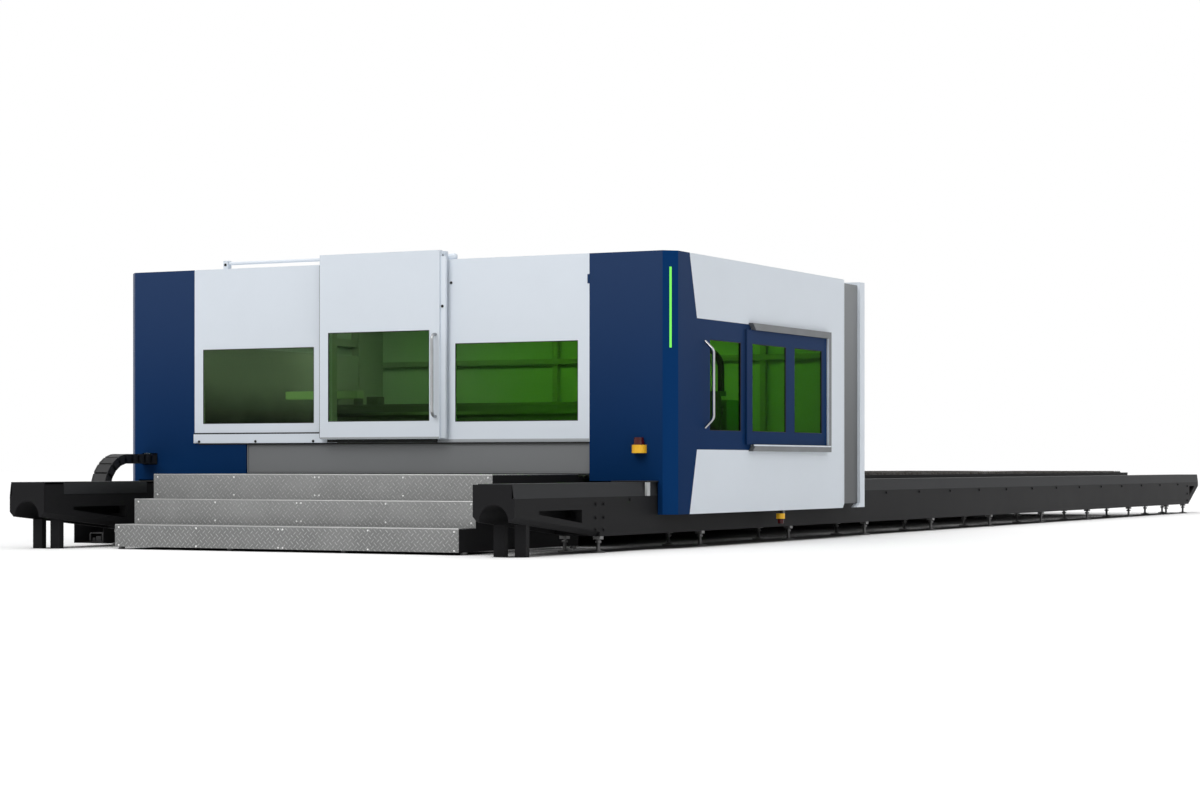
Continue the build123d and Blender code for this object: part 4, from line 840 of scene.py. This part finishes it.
polished = steel("polished_tube", (0.45, 0.46, 0.47), 0.2, 120.0, stretch=(4.0, 4.0, 0.5))
seat, out, x = front - 0.079, front - 0.142, 0.59
bow = tube([(x, seat, 1.15), (x, out, 1.15), (x, out, 1.88), (x, seat, 1.88)], 0.014, 0.045)
bow = piece("front_handle_tube", bow, polished, "front_door")
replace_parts(bow, "front_door_handle")
seat, out, y = cabin_side - 0.003, cabin_side + 0.080, front + 0.65
bow = tube([(seat, y, 1.045), (out, y, 1.125), (out, y, 1.72), (seat, y, 1.80)], 0.013, 0.060)
bow = piece("side_handle_tube", bow, polished, "side_door")
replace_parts(bow, "side_door_handle")


# Pocket frame: an extruded aluminium bar bent to a C round the pocket, silver anodised.
# The carriage plate and the head's slide are machined from the same metal.
anodised = steel("anodised", (0.165, 0.175, 0.185), 0.45, 50.0, metallic=0.3, stretch=(4.0, 0.4, 4.0))
dress(anodised, "pocket_frame", "carriage_plate", "head_slide")
# Painted highlight: white strips on the frame's inner face and on its lower bar's top stand in for light
# on the metal.
painted_highlight_lips = bmesh.new()
bar(painted_highlight_lips, (2.9155, -4.7025, 0.905), (2.9395, -4.6990, 1.942), 0.001)
bar(painted_highlight_lips, (2.9360, -6.500, 0.890), (2.9408, -4.645, 0.903), 0.001)
piece("pocket_painted_highlights", painted_highlight_lips, white_paint, "cabin")
notch = bmesh.new()
bar(notch, (2.074, front - 0.004, 2.29), (2.094, front + 0.004, 2.37), 0.001)
piece("corner_notch", notch, navy_paint, "cabin")


# Status light: a frosted plastic strip let into the right chamfer, lit green from behind.
# The row of lamps under it leaves a faint unevenness along its length.
status_light, shader, shade = new_material("status_light", Emission_Strength=1.0, Roughness=0.5)
place = shade.node("TexCoord", output="Object")
cells = place.noise(9.0)
cells.colour((0.14, 0.58, 0.085, 1.0), (0.17, 0.66, 0.105, 1.0)).feed(shader, "Emission Color")
shader.inputs["Base Color"].default_value = (0.05, 0.4, 0.02, 1.0)
dress(status_light, "led_strip")


# Safety scanners: yellow moulded housings with a dark red lens, one on the front corner and one
# hung at the side. They watch the floor round the cabin as it travels.
scanner_yellow, shader, shade = new_material("scanner_yellow", Roughness=0.42)
place = shade.node("TexCoord", output="Object")
mould = place.noise(500.0, 2.0)
fade = place.noise(12.0, 4.0)
height = place.axis("Z")
hanger_low, hanger_high = 0.2645, 0.5
hanger = (height > hanger_low) * (hanger_high - height).ramp(0.0, 0.01)
yellow = fade.colour((0.88, 0.46, 0.012, 1.0), (0.95, 0.54, 0.02, 1.0))
hanger.colour(yellow, (0.015, 0.015, 0.015, 1.0)).feed(shader, "Base Color")
mould.bump(shader, 0.1, 0.001)
dress(scanner_yellow, "scanner_bodies")
scanner_lens, shader, shade = new_material("scanner_lens", Specular_IOR_Level=0.3)
place = shade.node("TexCoord", output="Object")
tint = place.noise(20.0)
tint.colour((0.03, 0.002, 0.003, 1.0), (0.09, 0.004, 0.006, 1.0)).feed(shader, "Base Color")
(0.08 + tint * 0.06).feed(shader, "Roughness")
dress(scanner_lens, "scanner_domes")


# Carriage cable arch and nozzle: a small moulded link carrier that loops over the carriage,
# and a nozzle turned from copper and screwed into the cutting head.
dress(chain_plastic, "carriage_chain")
copper = steel("copper", (0.62, 0.32, 0.18), 0.28, 200.0)
dress(copper, "cutting_nozzle")


# Studio: a plain pale floor that keeps the machine's shadow and has a painted shadow where the machine
# covers it, a white surround that is brightest overhead and two broad soft lamps, one in front and a
# weaker one on the right.
def seen(shade):
    """1 for rays by which the studio is seen, directly, mirrored or through glass, and else 0."""
    kinds = ("Is Camera Ray", "Is Glossy Ray", "Is Transmission Ray")
    first, second, third = (shade.node("LightPath", output=kind) for kind in kinds)
    return shade.math("MINIMUM", first + second + third, 1.0)


scene = bpy.context.scene
scene.view_settings.view_transform = "Standard"
floor_material, shader, shade = new_material("studio_floor", Roughness=0.9, Specular_IOR_Level=0.1)
place = shade.node("TexCoord", output="Object")
cloud = place.noise(0.2)
# Painted shadow: the floor turns near black where the machine covers it.
occlusion = shade.node("AmbientOcclusion", {"Distance": 0.7}, "AO")
unshadowed_floor = occlusion.ramp(0.40, 0.60)
plain = cloud.colour((0.86, 0.86, 0.86, 1.0), (0.88, 0.88, 0.88, 1.0))
unshadowed_floor.colour((0.06, 0.06, 0.06, 1.0), plain).feed(shader, "Base Color")
shader.inputs["Emission Color"].default_value = (1.0, 1.0, 1.0, 1.0)
(seen(shade) * unshadowed_floor * 0.11).feed(shader, "Emission Strength")
floor_shape = bmesh.new()
bmesh.ops.create_grid(floor_shape, x_segments=1, y_segments=1, size=150.0)
floor_mesh = bpy.data.meshes.new("floor")
floor_shape.to_mesh(floor_mesh)
floor_shape.free()
floor_mesh.materials.append(floor_material)
floor = bpy.data.objects.new("floor", floor_mesh)
scene.collection.objects.link(floor)
world = bpy.data.worlds.new("studio")
world.use_nodes = True
scene.world = world
surround = Shade(world.node_tree)
background = world.node_tree.nodes["Background"]
background.inputs["Color"].default_value = (1.0, 1.0, 1.0, 1.0)
height = surround.node("TexCoord", output="Generated").axis("Z")
glow = 0.06 + height.ramp(0.1, 0.85)
(glow + seen(surround) * (1.0 - glow)).feed(background, "Strength")
for name, energy, towards in (("key", 1.2, (0.2, 1.0, -0.9)), ("fill", 0.3, (-1.0, 0.35, -0.6))):
    lamp_data = bpy.data.lights.new(name, "SUN")
    lamp_data.energy = energy
    lamp_data.angle = radians(40)
    lamp = bpy.data.objects.new(name, lamp_data)
    lamp.rotation_euler = Vector(towards).to_track_quat("-Z", "Y").to_euler()
    scene.collection.objects.link(lamp)


# Camera: the photograph's own place, well to the right of the stairs and a little above the bed.
# It looks level along the machine, and a small shift lowers the horizon as in the photograph.
camera_data = bpy.data.cameras.new("camera")
camera_data.sensor_width = 36.0
camera_data.lens = 75.7
camera_data.shift_y = 0.0538
camera_data.clip_end = 400.0
camera = bpy.data.objects.new("camera", camera_data)
camera.location = (12.172, -27.4775, 0.7213)
camera.rotation_euler = Vector((-0.4579, 0.8890, 0.0)).to_track_quat("-Z", "Y").to_euler()
scene.collection.objects.link(camera)
scene.camera = camera
